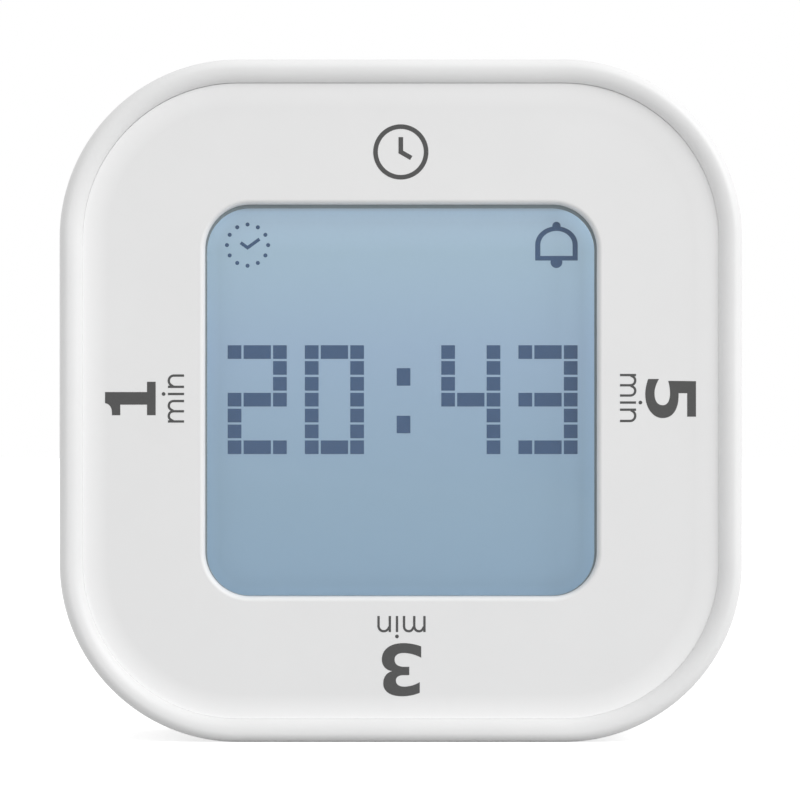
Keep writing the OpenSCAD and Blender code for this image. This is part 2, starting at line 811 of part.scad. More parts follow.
module key_board_screws() {
    color("silver") upright() for (p = key_screws) {
        translate([p.x, p.y, z_key_front]) rotate([180, 0, 0])
            screw(small_head_r, small_head_h, small_shank_r, z_key_front - back_wall_t - 0.8);
    }
}

module push_switches() {
    color("dimgray") upright() for (x = button_xs) {
        difference() {
            block(x, buttons_y, push_w, push_w, z_switch_back, z_key_back);
            bar(x, buttons_y, plunger_r + drop_fit,
                z_switch_back - past, z_switch_back + 1 + 2 * button_travel);
        }
    }
}

module plunger(i) {
    color("black") upright() bar(button_xs[i], buttons_y, plunger_r, z_plunger, z_switch_back + 0.8);
}

module set_plunger() { plunger(0); }

module plus_plunger() { plunger(1); }

module minus_plunger() { plunger(2); }

// Shallow mark in a button's face: a ring to set, a plus or a minus
module button_mark(i, high) {
    if (i == 0) {
        difference() {
            bar(0, 0, mark_l / 2, -past, high);
            bar(0, 0, mark_l / 2 - mark_w, -2 * past, high + past);
        }
    } else {
        block(0, 0, mark_l, mark_w, -past, high);
        if (i == 1) block(0, 0, mark_w, mark_l, -past, high);
    }
}

// Button cap: dished face, neck in the back wall and a flange that keeps it in
module button(i) {
    flange_low = back_wall_t + 0.12;
    dish_r = 9;
    dish_depth = 0.25;
    color("gainsboro") upright() translate([button_xs[i], buttons_y, 0]) difference() {
        rotate_extrude() polygon([
            [0, button_recess], [button_r - 0.25, button_recess], [button_r, button_recess + 0.25],
            [button_r, flange_low], [button_r + 0.6, flange_low], [button_r + 0.6, flange_low + 0.7],
            [plunger_r, z_plunger], [0, z_plunger]
        ]);
        translate([0, 0, button_recess + dish_depth - dish_r]) sphere(dish_r, $fn = 120);
        button_mark(i, button_recess + dish_depth + mark_depth);
    }
}

module set_button() { button(0); }

module plus_button() { button(1); }

module minus_button() { button(2); }

module slide_switch() {
    body_l = 9.4;
    body_h = 4;
    color("silver") upright() difference() {
        block(controls_x, knob_y, body_l, body_h, z_switch_back, z_key_back);
        block(controls_x, knob_y, lever + 2 * (knob_travel + drop_fit), lever + 2 * drop_fit,
            z_switch_back - past, z_switch_back + 1.4);
    }
}

module slide_lever() {
    color("black") upright() block(controls_x, knob_y, lever, lever, back_wall_t + 0.6, z_switch_back + 1.2);
}

// Slide knob: ridged finger in the slot, flange behind the wall, socket for the lever
module volume_knob() {
    flange_low = back_wall_t + drop_fit;
    socket_w = lever + 2 * lever_fit;
    socket_out = lever + 2 * knob_socket_wall;
    socket_high = flange_low + knob_socket_h;
    color("dimgray") upright() difference() {
        union() {
            block(controls_x, knob_y, knob_l, knob_w, finger_tip, flange_low + knob_flange_t);
            block(controls_x, knob_y, flange_l, flange_w, flange_low, flange_low + knob_flange_t);
            block(controls_x, knob_y, socket_out, socket_out, flange_low, socket_high);
        }
        block(controls_x, knob_y, socket_w, socket_w, flange_low + lever * 0.3, socket_high + past);
        for (i = [-1:1]) {
            block(controls_x + i * knob_l * 0.3, knob_y, knob_l * 0.12, 2 * knob_w,
                finger_tip - past, 2 * finger_tip);
        }
    }
}

module buzzer_disc() {
    z = back_wall_t + buzzer_seat;
    color("goldenrod") upright() bar(buzzer_x, buzzer_y, buzzer_r, z, z + 0.2);
}

module buzzer_ceramic() {
    z = back_wall_t + buzzer_seat + 0.2;
    color("lightgray") upright() bar(buzzer_x, buzzer_y, buzzer_r - 2, z, z + 0.2);
}

// Two leads from the buzzer over the edge of the key board
module buzzer_leads() {
    lead = buzzer_lead_r;
    bend = lead_bend;
    top_z = z_key_front + lead_rise;
    ends_z = [back_wall_t + buzzer_seat + 0.4, back_wall_t + buzzer_seat + 0.2];
    starts_x = [buzzer_x + 3, buzzer_x + buzzer_r - 1];
    end_x = key_left + 0.9;
    color("red") upright() for (i = [0, 1]) {
        y = buzzer_y + buzzer_r * 0.45 - 4 * lead * i;
        run = end_x - starts_x[i];
        bar(starts_x[i], y, lead, ends_z[i], top_z - bend);
        translate([starts_x[i], y, top_z - bend]) rotate([90, 0, 0]) translate([bend, 0, 0])
            rotate([0, 0, 90]) rotate_extrude(angle = 90) translate([bend, 0]) circle(lead);
        translate([starts_x[i] + bend, y, top_z]) rotate([0, 90, 0]) cylinder(r = lead, h = run - 2 * bend);
        translate([end_x - bend, y, top_z - bend]) rotate([90, 0, 0])
            rotate_extrude(angle = 90) translate([bend, 0]) circle(lead);
        bar(end_x, y, lead, z_key_front, top_z - bend);
    }
}

// Ribbon bent back from the key board to the main board
module ribbon_cable() {
    middle_z = z_key_front + ribbon_r;
    tail = 2.6;
    color("white") upright() translate([ribbon_x - ribbon_w / 2, ribbon_y, middle_z])
        rotate([90, 0, 90]) linear_extrude(ribbon_w) {
            difference() {
                circle(ribbon_r);
                circle(ribbon_r - ribbon_t);
                translate([-2 * ribbon_r, -2 * ribbon_r]) square([2 * ribbon_r, 4 * ribbon_r]);
            }
            translate([-tail, -ribbon_r]) square([tail, ribbon_t]);
            translate([-tail, ribbon_r - ribbon_t]) square([tail, ribbon_t]);
        }
}

// AAA cell along x, nub towards +x when side is 1
module cell(side, y) {
    nub_r = 1.9;
    nub_h = 0.9;
    edge = 0.4;
    tip = bay_l / 2 - contact_t - drop_fit;
    color(side > 0 ? "steelblue" : "slategray") upright() translate([side * tip, y, cell_z])
        rotate([0, -90 * side, 0]) rotate_extrude() polygon([
            [0, 0], [nub_r, 0], [nub_r, nub_h], [cell_r - edge, nub_h], [cell_r, nub_h + edge],
            [cell_r, cell_len - edge], [cell_r - edge, cell_len], [0, cell_len]
        ]);
}

module upper_cell() { cell(1, cell_ys[0]); }

module lower_cell() { cell(-1, cell_ys[1]); }

// Contact plates in the ends of the bay
module contact_plate(side, y, h) {
    block(side * (contact_x + contact_t / 2), y, contact_t, h, plate_low, plate_high);
}

// Tab bent out through the slot in the bay's end wall, where a lead is soldered to it
module contact_tab(y) {
    block((contact_x + tab_end) / 2, y, tab_end - contact_x, tab_w, plate_high - contact_t, plate_high);
}

module bridge_contact() {
    color("silver") upright() contact_plate(-1, bay_y, bay_h - 0.4);
}

module positive_contact() {
    h = bay_h / 2 - 0.6;
    color("silver") upright() {
        contact_plate(1, bay_y + 0.4 + h / 2, h);
        contact_tab(cell_ys[0]);
    }
}

module negative_contact() {
    h = bay_h / 2 - 0.6;
    color("silver") upright() {
        contact_plate(1, bay_y - 0.4 - h / 2, h);
        contact_tab(cell_ys[1]);
    }
}

// Conical coil spring along z: its ends run straight for one wire width
function spring_point(i, rings) =
    let (t = i / rings, a = 360 * spring_turns * t, r = spring_r - (spring_r - 2.4) * t,
        z = 2 * wire_r + (spring_len - 4 * wire_r) * t)
    [r * cos(a), r * sin(a), z];

spring_rings = 8 * spring_turns;
spring_path = concat(
    [[spring_r, 0, 0]],
    [for (i = [0:spring_rings]) spring_point(i, spring_rings)],
    [[2.4, 0, spring_len]]
);
spring_gap = min([
    for (i = [0:len(spring_path) - 6], j = [i + 5:len(spring_path) - 1])
        norm(spring_path[i] - spring_path[j])
]) - 2 * wire_r;
echo(least_gap_between_spring_turns = spring_gap);

function unit(v) = v / norm(v);

// The six corners of the wire round one point of its path
function wire_ring(path, i) =
    let (last = len(path) - 1,
        way = i == 0 || i == last ? [0, 0, 1]
            : unit(unit(path[i + 1] - path[i]) + unit(path[i] - path[i - 1])),
        radial = unit([path[i].x, path[i].y, 0]),
        side = unit(radial - (radial * way) * way),
        other = cross(way, side))
    [for (k = [0:5]) path[i] + wire_r * (side * cos(60 * k) + other * sin(60 * k))];

module coil_spring() {
    rings = len(spring_path);
    corners_of_wire = [for (i = [0:rings - 1]) each wire_ring(spring_path, i)];
    sides = [for (i = [0:rings - 2], k = [0:5])
        each [
            [6 * i + k, 6 * i + 6 + (k + 1) % 6, 6 * i + (k + 1) % 6],
            [6 * i + k, 6 * i + 6 + k, 6 * i + 6 + (k + 1) % 6]
        ]];
    foot = [[for (k = [0:5]) k]];
    tip = [[for (k = [5:-1:0]) 6 * (rings - 1) + k]];
    polyhedron(corners_of_wire, concat(sides, foot, tip));
}

module placed_spring(side, y) {
    color("silver") upright() translate([side * contact_x, y, cell_z])
        rotate([0, -90 * side, 0]) coil_spring();
}

module bridge_spring() { placed_spring(-1, cell_ys[0]); }

module negative_spring() { placed_spring(1, cell_ys[1]); }

// Lead from a contact tab up beside the bay to the back of the main board
module lead_wire(y) {
    bar(lead_x, y, lead_r, plate_high, z_board_back);
}

module positive_lead() {
    color("red") upright() lead_wire(cell_ys[0]);
}

module negative_lead() {
    color("black") upright() lead_wire(cell_ys[1]);
}

// Battery door: tongues at its head, a tab for the latch at its foot, ribs inside
module battery_door() {
    tongue_low = back_wall_t + 0.15;
    tongue_high = tongue_low + 1;
    color("white") upright() {
        difference() {
            translate([0, bay_y, 0]) rounded_plate(door_w, door_h, door_r - door_gap, 0, door_t);
            for (i = [1:3]) {
                block(0, door_foot + i * grip_pitch, tab_plate_w, grip_pitch / 2, -past, grip_depth);
            }
        }
        block(0, door_foot - 0.15 - latch_t / 2, tab_plate_w, 2.3 + latch_t, 0, door_t);
        for (sx = [-1, 1]) {
            block(sx * tongue_x, door_top - 0.3 - 0.8, tongue_w, 1.6, door_t - bite, tongue_high);
            block(sx * tongue_x, door_top + (tongue_reach - 0.6) / 2, tongue_w, tongue_reach + 0.6,
                tongue_low, tongue_high);
        }
        for (i = [-2:2]) {
            block(0, bay_y + i * 3.6, bay_l * 0.7, 0.8, door_t - bite, door_t + cell_air / 2);
        }
    }
}

// Snap latch: a springy strip folded like a U, with a hook and a thumb pad
module door_latch() {
    hook_low = back_wall_t + 0.1;
    pad_low = 0.25;
    color("white") upright() translate([-latch_w / 2, 0, 0]) rotate([90, 0, 90]) linear_extrude(latch_w) {
        translate([latch_a, door_t]) square([latch_t, latch_top - door_t]);
        difference() {
            translate([latch_axis, latch_top]) circle(latch_bend + latch_t);
            translate([latch_axis, latch_top]) circle(latch_bend);
            translate([latch_axis - 10, latch_top - 20]) square(20);
        }
        translate([latch_b, pad_low]) square([latch_t, latch_top - pad_low]);
        translate([latch_b + latch_t, pad_low]) square([1.3, latch_t]);
        polygon([
            [latch_b - latch_catch, hook_low], [latch_b + latch_t / 2, hook_low],
            [latch_b + latch_t / 2, hook_low + 1.2], [latch_b, hook_low + 1.2],
            [latch_b - latch_catch, hook_low + 0.4]
        ]);
    }
}

front_case();
face_panel();
display_window();
display_frame();
display_glass();
front_polariser();
rear_reflector();
light_guide();
backlight_led();
upper_contact_strip();
lower_contact_strip();
main_board();
controller_cap();
clock_crystal();
chip_parts();
left_tilt_can();
left_tilt_base();
left_tilt_ball();
right_tilt_can();
right_tilt_base();
right_tilt_ball();
board_screws();
rear_case();
case_screws();
key_board();
key_board_screws();
push_switches();
set_plunger();
plus_plunger();
minus_plunger();
set_button();
plus_button();
minus_button();
slide_switch();
slide_lever();
volume_knob();
buzzer_disc();
buzzer_ceramic();
buzzer_leads();
ribbon_cable();
upper_cell();
lower_cell();
bridge_contact();
positive_contact();
negative_contact();
bridge_spring();
negative_spring();
positive_lead();
negative_lead();
battery_door();
door_latch();
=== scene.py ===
"""Square flip timer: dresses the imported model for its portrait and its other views.

Face measures are in millimetres: right and up from the middle of the face, and back
from the crest of the rim. Meshes are in metres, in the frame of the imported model.
"""
import json
import logging
import math
from dataclasses import dataclass
from enum import Enum
from typing import Callable, ClassVar, Iterable, Sequence

import bmesh
import bpy
from bmesh.types import BMesh, BMVert
from bpy.types import ID, Material, Mesh, Node, NodeSocket, NodeTree, Object
from mathutils import Matrix, Vector

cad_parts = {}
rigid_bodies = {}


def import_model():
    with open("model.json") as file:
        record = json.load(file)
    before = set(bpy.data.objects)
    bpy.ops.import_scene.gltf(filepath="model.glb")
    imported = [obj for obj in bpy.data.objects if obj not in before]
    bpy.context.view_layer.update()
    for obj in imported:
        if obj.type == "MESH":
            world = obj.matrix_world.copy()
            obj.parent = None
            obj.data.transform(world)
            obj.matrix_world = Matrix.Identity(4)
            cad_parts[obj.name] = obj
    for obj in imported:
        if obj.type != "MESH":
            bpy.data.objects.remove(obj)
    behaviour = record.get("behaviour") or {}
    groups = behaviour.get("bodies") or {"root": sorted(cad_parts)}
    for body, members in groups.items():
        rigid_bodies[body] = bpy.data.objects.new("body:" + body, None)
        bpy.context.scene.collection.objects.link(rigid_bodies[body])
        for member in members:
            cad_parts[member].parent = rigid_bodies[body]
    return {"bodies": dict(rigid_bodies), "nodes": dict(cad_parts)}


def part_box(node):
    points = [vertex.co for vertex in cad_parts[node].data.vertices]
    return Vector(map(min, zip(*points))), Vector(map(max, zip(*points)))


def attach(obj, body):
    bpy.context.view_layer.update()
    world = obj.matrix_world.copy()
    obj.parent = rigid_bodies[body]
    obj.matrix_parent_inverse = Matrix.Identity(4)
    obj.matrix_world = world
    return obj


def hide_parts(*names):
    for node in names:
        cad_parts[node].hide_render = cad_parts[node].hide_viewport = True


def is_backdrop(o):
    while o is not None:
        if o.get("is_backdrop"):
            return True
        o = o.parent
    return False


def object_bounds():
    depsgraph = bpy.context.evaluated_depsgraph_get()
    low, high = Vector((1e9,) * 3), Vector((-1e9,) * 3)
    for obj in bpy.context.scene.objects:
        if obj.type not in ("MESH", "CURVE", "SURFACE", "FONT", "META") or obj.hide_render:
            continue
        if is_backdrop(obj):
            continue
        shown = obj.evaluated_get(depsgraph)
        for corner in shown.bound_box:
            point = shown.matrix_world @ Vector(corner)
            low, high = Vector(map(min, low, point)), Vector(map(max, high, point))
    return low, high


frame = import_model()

Triple = tuple[float, float, float]
Colour = Triple
Plan = tuple[float, float]
Outline = Sequence[Plan]
Stops = Sequence[tuple[float, Colour]]
Settings = dict[str, object]
Source = NodeSocket | Node
Palette = dict[str, Material]

LOG = logging.getLogger("timer")
MM = 0.001
BODY = "timer_body"
CORNERS = ((-1, -1), (-1, 1), (1, -1), (1, 1))
SIDES = ((1, 0), (0, 1), (-1, 0), (0, -1))
WHITE = (1, 1, 1)
GRAIN_ENDS = (0.3, 0.7)
SIDE_STEPS = 6
# The cosine of half a bend at which a ribbon's mitre stops growing
LEAST_MITRE = 0.3
# The wave texture's own units from one dark stripe to the next
WAVE_PERIOD = math.pi / 10


class Turn(Enum):
    """Which way the top of a sign points, in degrees turned against the clock."""

    UP = 0
    LEFT = 90
    DOWN = 180
    RIGHT = 270


class Change(Enum):
    """How a ramp goes from one colour to the next."""

    GRADUAL = "LINEAR"
    SUDDEN = "CONSTANT"


class Blend(Enum):
    """How one colour goes over another."""

    COVER = "MIX"
    STAIN = "MULTIPLY"


@dataclass(frozen=True)
class Face:
    """The front of the timer, where signs and panels are placed."""

    crest_y: float
    middle_z: float

    def at(self, right: float, up: float, back: float) -> Vector:
        """Gives the place in the frame of a point measured on the face."""
        return Vector((right * MM, self.crest_y + back * MM, self.middle_z + up * MM))

    def ring(self, outline: Outline, back: float) -> list[Vector]:
        """Gives the places of an outline at one depth."""
        return [self.at(x, y, back) for x, y in outline]

    def stand(self, right: float = 0, up: float = 0, back: float = 0) -> Matrix:
        """Gives the move that stands a shape drawn flat on a point, its height towards the viewer."""
        return Matrix.Translation(self.at(right, up, back)) @ Matrix.Rotation(math.pi / 2, 4, "X")


# Colours


def grey_to_linear(level: float) -> float:
    """Turns one screen level of 0 to 255 into a linear share."""
    share = level / 255
    return share / 12.92 if share <= 0.04045 else ((share + 0.055) / 1.055) ** 2.4


def screen(red: float, green: float, blue: float) -> Colour:
    """Turns a screen colour of 0 to 255 into a linear one."""
    return grey_to_linear(red), grey_to_linear(green), grey_to_linear(blue)


def grey(level: float) -> Colour:
    """Turns a screen grey of 0 to 255 into a linear colour."""
    return screen(level, level, level)


def shade(colour: Colour, share: float) -> Colour:
    """Makes a colour lighter or darker by a share."""
    return tuple(min(1.0, part * share) for part in colour)


def opaque(colour: Colour) -> tuple[float, float, float, float]:
    """Adds full cover to a colour, as a node's socket takes it."""
    return (*colour, 1)


# Node trees


class Nodes:
    """A node tree with short calls for making and joining its nodes."""

    def __init__(self, tree: NodeTree) -> None:
        """Wraps a tree."""
        self.tree = tree

    def feed(self, node: Node, socket: str | int, value: object) -> None:
        """Sets an input to a value, or links it to another node.

        Args:
            node: The node that receives.
            socket: The input's name or number.
            value: A plain value, an output socket, or a node for its first output.
        """
        if isinstance(value, Node):
            value = value.outputs[0]
        if isinstance(value, NodeSocket):
            self.tree.links.new(value, node.inputs[socket])
        else:
            node.inputs[socket].default_value = value

    def add(self, kind: str, *values: object, settings: Settings | None = None, **sockets: object) -> Node:
        """Adds a node.

        Args:
            kind: The node's type name.
            values: Values or sources of its first inputs, in order.
            settings: Properties of the node itself.
            sockets: Values or sources by input name, with spaces written as underscores.

        Returns:
            The new node.
        """
        node = self.tree.nodes.new(kind)
        for key, value in (settings or {}).items():
            setattr(node, key, value)
        for index, value in enumerate(values):
            self.feed(node, index, value)
        for key, value in sockets.items():
            self.feed(node, key.replace("_", " "), value)
        return node

    def math(self, operation: str, one: Source, two: Source) -> Node:
        """Joins two values by an operation such as ADD."""
        return self.add("ShaderNodeMath", one, two, settings={"operation": operation})


class Shader(Nodes):
    """A material's node tree."""

    def __init__(self, name: str) -> None:
        """Starts a material with one Principled shader.

        Args:
            name: The material's name.
        """
        self.material = bpy.data.materials.new(name)
        self.material.use_nodes = True
        super().__init__(self.material.node_tree)
        self.skin = self.tree.nodes["Principled BSDF"]

    def replace_skin(self, source: Source) -> None:
        """Puts another shader in the place of the Principled one."""
        self.tree.nodes.remove(self.skin)
        self.feed(self.tree.nodes["Material Output"], "Surface", source)

    def where(self) -> NodeSocket:
        """Gives object coordinates."""
        return self.add("ShaderNodeTexCoord").outputs["Object"]

    def place(self, scale: Triple = (1, 1, 1)) -> Node:
        """Gives object coordinates, stretched by a scale per axis."""
        return self.add("ShaderNodeMapping", self.where(), Scale=scale)

    def stored(self, name: str) -> NodeSocket:
        """Gives a share that is stored on the mesh."""
        return self.add("ShaderNodeAttribute", settings={"attribute_name": name}).outputs["Fac"]

    def noise(self, size_mm: float, detail: float = 2, scale: Triple = (1, 1, 1)) -> Node:
        """Gives noise, about 0 to 1, of a grain size, with finer octaves and a stretch per axis."""
        return self.add("ShaderNodeTexNoise", self.place(scale), Scale=1 / (size_mm * MM), Detail=detail)

    def ramp(self, source: Source, stops: Stops, change: Change = Change.GRADUAL) -> Node:
        """Maps a value to colours.

        Args:
            source: The value.
            stops: Places from 0 to 1 with their colours.
            change: How it goes from stop to stop.

        Returns:
            The colour.
        """
        node = self.add("ShaderNodeValToRGB", source)
        band = node.color_ramp
        band.interpolation = change.value
        while len(band.elements) < len(stops):
            band.elements.new(1)
        for element, (where, colour) in zip(band.elements, stops):
            element.position = where
            element.color = opaque(colour)
        return node

    def mottle(self, grain: Source, colour: Colour, shares: Plan, ends: Plan = GRAIN_ENDS) -> Node:
        """Varies a colour from a low to a high share of itself between two ends of a grain."""
        return self.ramp(grain, [(end, shade(colour, share)) for end, share in zip(ends, shares)])

    def span(self, source: Source, ends: Plan, to: Plan) -> Node:
        """Maps a value's range linearly to another range."""
        limits = {"From_Min": ends[0], "From_Max": ends[1], "To_Min": to[0], "To_Max": to[1]}
        return self.add("ShaderNodeMapRange", source, **limits)

    def mix(self, share: object, under: object, over: object, blend: Blend = Blend.COVER) -> NodeSocket:
        """Lays one colour over another.

        Args:
            share: How much of the upper colour shows.
            under: The lower colour.
            over: The upper colour.
            blend: How it goes over the lower one.

        Returns:
            The mixed colour.
        """
        node = self.add("ShaderNodeMix", settings={"data_type": "RGBA", "blend_type": blend.value})
        # The node's colour inputs are numbers 6 and 7, and its colour output is number 2.
        for socket, value in ((0, share), (6, under), (7, over)):
            self.feed(node, socket, value)
        return node.outputs[2]

    def coat(self, colour: Source, grain: Source, rough: Plan, depth_mm: float, relief: Source | None = None,
             strength: float = 1) -> None:
        """Gives the skin its colour, a gloss that follows a grain, and a bump.

        Args:
            colour: The colour.
            grain: The value that the gloss follows.
            rough: Roughness at the grain's low and high end.
            depth_mm: Depth of the bump in millimetres.
            relief: The height that the bump follows, where it isn't the grain.
            strength: How strongly the bump shows.
        """
        height = grain if relief is None else relief
        bump = self.add("ShaderNodeBump", Height=height, Distance=depth_mm * MM, Strength=strength)
        self.feed(self.skin, "Base Color", colour)
        self.feed(self.skin, "Roughness", self.span(grain, GRAIN_ENDS, rough))
        self.feed(self.skin, "Normal", bump)


class Growth(Nodes):
    """A geometry node tree with named inputs, baked once into a plain mesh."""

    def __init__(self, name: str) -> None:
        """Starts an empty tree with a geometry output.

        Args:
            name: The tree's name.
        """
        super().__init__(bpy.data.node_groups.new(name, "GeometryNodeTree"))
        self.tree.interface.new_socket(name="Geometry", in_out="OUTPUT", socket_type="NodeSocketGeometry")
        self.values: dict[str, object] = {}
        self.source = self.add("NodeGroupInput")
        self.sink = self.add("NodeGroupOutput")

    def inputs(self, **values: object) -> list[NodeSocket]:
        """Adds named inputs.

        Args:
            values: What this piece sets each to, by name, with spaces written as underscores.
                None stands for the mesh that the tree starts from.

        Returns:
            The sockets that carry them inside the tree.
        """
        kinds = {float: "Float", int: "Int", Object: "Object", type(None): "Geometry"}
        for key, value in values.items():
            kind = f"NodeSocket{kinds[type(value)]}"
            socket = self.tree.interface.new_socket(key.replace("_", " "), in_out="INPUT", socket_type=kind)
            if value is not None:
                self.values[socket.identifier] = value
        return [self.source.outputs[key.replace("_", " ")] for key in values]

    def bake(self, shape: Source, finish: Material, start: Mesh | None = None) -> Mesh:
        """Ends the tree and turns what it grows into a plain mesh.

        Args:
            shape: The geometry to keep.
            finish: The material that it gets.
            start: A mesh that the tree starts from, if it has one.

        Returns:
            The grown mesh.
        """
        whole = self.add("GeometryNodeRealizeInstances", shape)
        self.feed(self.sink, "Geometry", self.add("GeometryNodeSetMaterial", whole, Material=finish))
        holder = put(self.tree.name, start or bpy.data.meshes.new(self.tree.name))
        modifier = holder.modifiers.new("growth", "NODES")
        modifier.node_group = self.tree
        for identifier, value in self.values.items():
            modifier[identifier] = value
        mesh = evaluated(holder)
        holder.modifiers.remove(modifier)
        bpy.data.objects.remove(holder)
        return mesh


# Finishes


@dataclass(frozen=True)
class Finish:
    """A finish that paints its own material."""

    name: str

    def paint(self, shader: Shader) -> None:
        """Paints the finish on a new material, in each kind's own way."""
        raise NotImplementedError

    def material(self) -> Material:
        """Builds the material.

        Returns:
            The painted material.
        """
        shader = Shader(self.name)
        self.paint(shader)
        return shader.material


@dataclass(frozen=True)
class Moulded(Finish):
    """Moulded plastic: a fine spark-eroded grain, faint clouding and uneven gloss."""

    colour: Colour
    roughness: float
    grain_mm: float = 0.16
    grain_depth_mm: float = 0.004
    clouding: float = 0.015
    cloud_mm: float = 9
    gloss_change: float = 0.05
    ior: float = 1.5

    def tone(self, shader: Shader) -> Source:
        """Gives the clouded colour of the plastic."""
        shares = (1 - self.clouding, 1 + self.clouding)
        return shader.mottle(shader.noise(self.cloud_mm, 3), self.colour, shares)

    def paint(self, shader: Shader) -> None:
        """Paints the grained plastic.

        Args:
            shader: The new material.
        """
        grain = shader.noise(self.grain_mm, 3)
        rough = (self.roughness - self.gloss_change, self.roughness + self.gloss_change)
        shader.coat(self.tone(shader), grain, rough, self.grain_depth_mm)
        shader.feed(shader.skin, "IOR", self.ior)


@dataclass(frozen=True)
class PaintedLightEdgePlastic(Moulded):
    """Moulded plastic with painted light along an edge: paler there to lift the shade that the rim casts."""

    painted_light_colour: Colour = WHITE

    def tone(self, shader: Shader) -> Source:
        """Blends from the clouded colour to the painted light's colour by the edge share stored on the mesh.
        """
        return shader.mix(shader.stored("edge"), super().tone(shader), opaque(self.painted_light_colour))


@dataclass(frozen=True)
class Metal(Finish):
    """Sheet or wire metal with fine streaks along one axis."""

    colour: Colour
    roughness: float = 0.3
    streak: Triple = (1, 1, 12)
    streak_mm: float = 0.9
    shares: Plan = (0.86, 1.06)
    gloss_change: Plan = (-0.07, 0.09)
    depth_mm: float = 0.004

    def paint(self, shader: Shader) -> None:
        """Paints the streaked metal.

        Args:
            shader: The new material.
        """
        streaks = shader.noise(self.streak_mm, 3, self.streak)
        low, high = self.gloss_change
        rough = (self.roughness + low, self.roughness + high)
        shader.coat(shader.mottle(streaks, self.colour, self.shares), streaks, rough, self.depth_mm)
        shader.feed(shader.skin, "Metallic", 1)


@dataclass(frozen=True)
class Ink(Finish):
    """Screen-printed ink with the faint mottle of its mesh."""

    colour: Colour
    mesh_mm: float = 0.25
    shares: Plan = (0.94, 1.06)
    ends: Plan = (0.35, 0.65)
    rough: Plan = (0.5, 0.62)
    depth_mm: float = 0.002

    def paint(self, shader: Shader) -> None:
        """Paints the mottled ink."""
        mesh = shader.noise(self.mesh_mm)
        shader.coat(shader.mottle(mesh, self.colour, self.shares, self.ends), mesh, self.rough, self.depth_mm)


@dataclass(frozen=True)
class DisplayFilm(Finish):
    """Front film of the display: pale at the top, deeper below, with a glow for its backlight that is also
    painted light against the window's shadow, and more painted light at its edges.
    """

    stops: Stops
    foot_z: float
    head_z: float
    side_x: float
    window: float
    window_r: float
    glow: float = 0.3
    painted_side_light: float = 0.3
    side_w: float = 4.5
    painted_edge_glow: float = 0.25
    edge_w: float = 1.3
    painted_light_lift: float = 0.25
    sparkle_mm: float = 0.3
    sparkle: Plan = (0.965, 1)
    sparkle_ends: Plan = (0.25, 0.75)
    rough: Plan = (0.42, 0.55)
    depth_mm: float = 0.003

    def painted_window_light(self, shader: Shader, across: NodeSocket, height: NodeSocket) -> Node:
        """Gives painted light along the window's edge, which lifts the shade that the window's walls cast on
        the film.

        Args:
            shader: The new material.
            across: Place from side to side.
            height: Place up the film.

        Returns:
            The painted light, which rises towards the edge.
        """
        half_h = (self.head_z - self.foot_z) / 2
        lift = self.painted_light_lift * MM
        up = shader.span(height, (self.foot_z, self.head_z), (lift - half_h, lift + half_h))
        straight = (self.window - self.window_r) * MM
        spot = shader.add("ShaderNodeCombineXYZ", X=across, Z=up)
        steps = (("ABSOLUTE",), ("SUBTRACT", (straight, 0, straight)), ("MAXIMUM", (0, 0, 0)))
        for operation, *others in steps:
            spot = shader.add("ShaderNodeVectorMath", spot, *others, settings={"operation": operation})
        far = shader.add("ShaderNodeVectorMath", spot, settings={"operation": "LENGTH"}).outputs["Value"]
        return shader.span(far, ((self.window_r - self.edge_w) * MM, self.window_r * MM), (0, self.painted_edge_glow))

    def paint(self, shader: Shader) -> None:
        """Paints the sparkling film, its glow for the backlight, and painted light at its sides and edges.

        Args:
            shader: The new material.
        """
        parts = shader.add("ShaderNodeSeparateXYZ", shader.where()).outputs
        sparkle = shader.noise(self.sparkle_mm, 4)
        speck = shader.mottle(sparkle, WHITE, self.sparkle, self.sparkle_ends)
        height = shader.span(parts["Z"], (self.foot_z, self.head_z), (0, 1))
        tone = shader.mix(1, shader.ramp(height, self.stops), speck, Blend.STAIN)
        shader.coat(tone, sparkle, self.rough, self.depth_mm)
        # The glow stands for the backlight and is also painted light that lifts the window's shadow; the side
        # and edge glow are painted light alone.
        glow = (self.glow, self.glow + self.painted_side_light)
        side = shader.span(parts["X"], (self.side_x - self.side_w * MM, self.side_x), glow)
        lit = shader.math("ADD", side, self.painted_window_light(shader, parts["X"], parts["Z"]))
        shader.feed(shader.skin, "Emission Color", tone)
        shader.feed(shader.skin, "Emission Strength", lit)


@dataclass(frozen=True)
class ClearSheet(Finish):
    """Clear plastic that lets lamps through and mirrors a little at its surface."""

    tint: Colour
    rough: Plan = (0.06, 0.1)
    haze_mm: float = 0.4
    ior: float = 1.45

    def paint(self, shader: Shader) -> None:
        """Paints the clear sheet, which mirrors at its outer side alone.

        Args:
            shader: The new material.
        """
        gloss = shader.span(shader.noise(self.haze_mm), GRAIN_ENDS, self.rough)
        through = shader.add("ShaderNodeBsdfTransparent", Color=opaque(self.tint))
        mirror = shader.add("ShaderNodeBsdfGlossy", Color=opaque(WHITE), Roughness=gloss)
        edge = shader.add("ShaderNodeFresnel", IOR=self.ior)
        inside = shader.add("ShaderNodeNewGeometry").outputs["Backfacing"]
        once = shader.math("MULTIPLY", edge, shader.span(inside, (0, 1), (1, 0)))
        shader.replace_skin(shader.add("ShaderNodeMixShader", once, through, mirror))


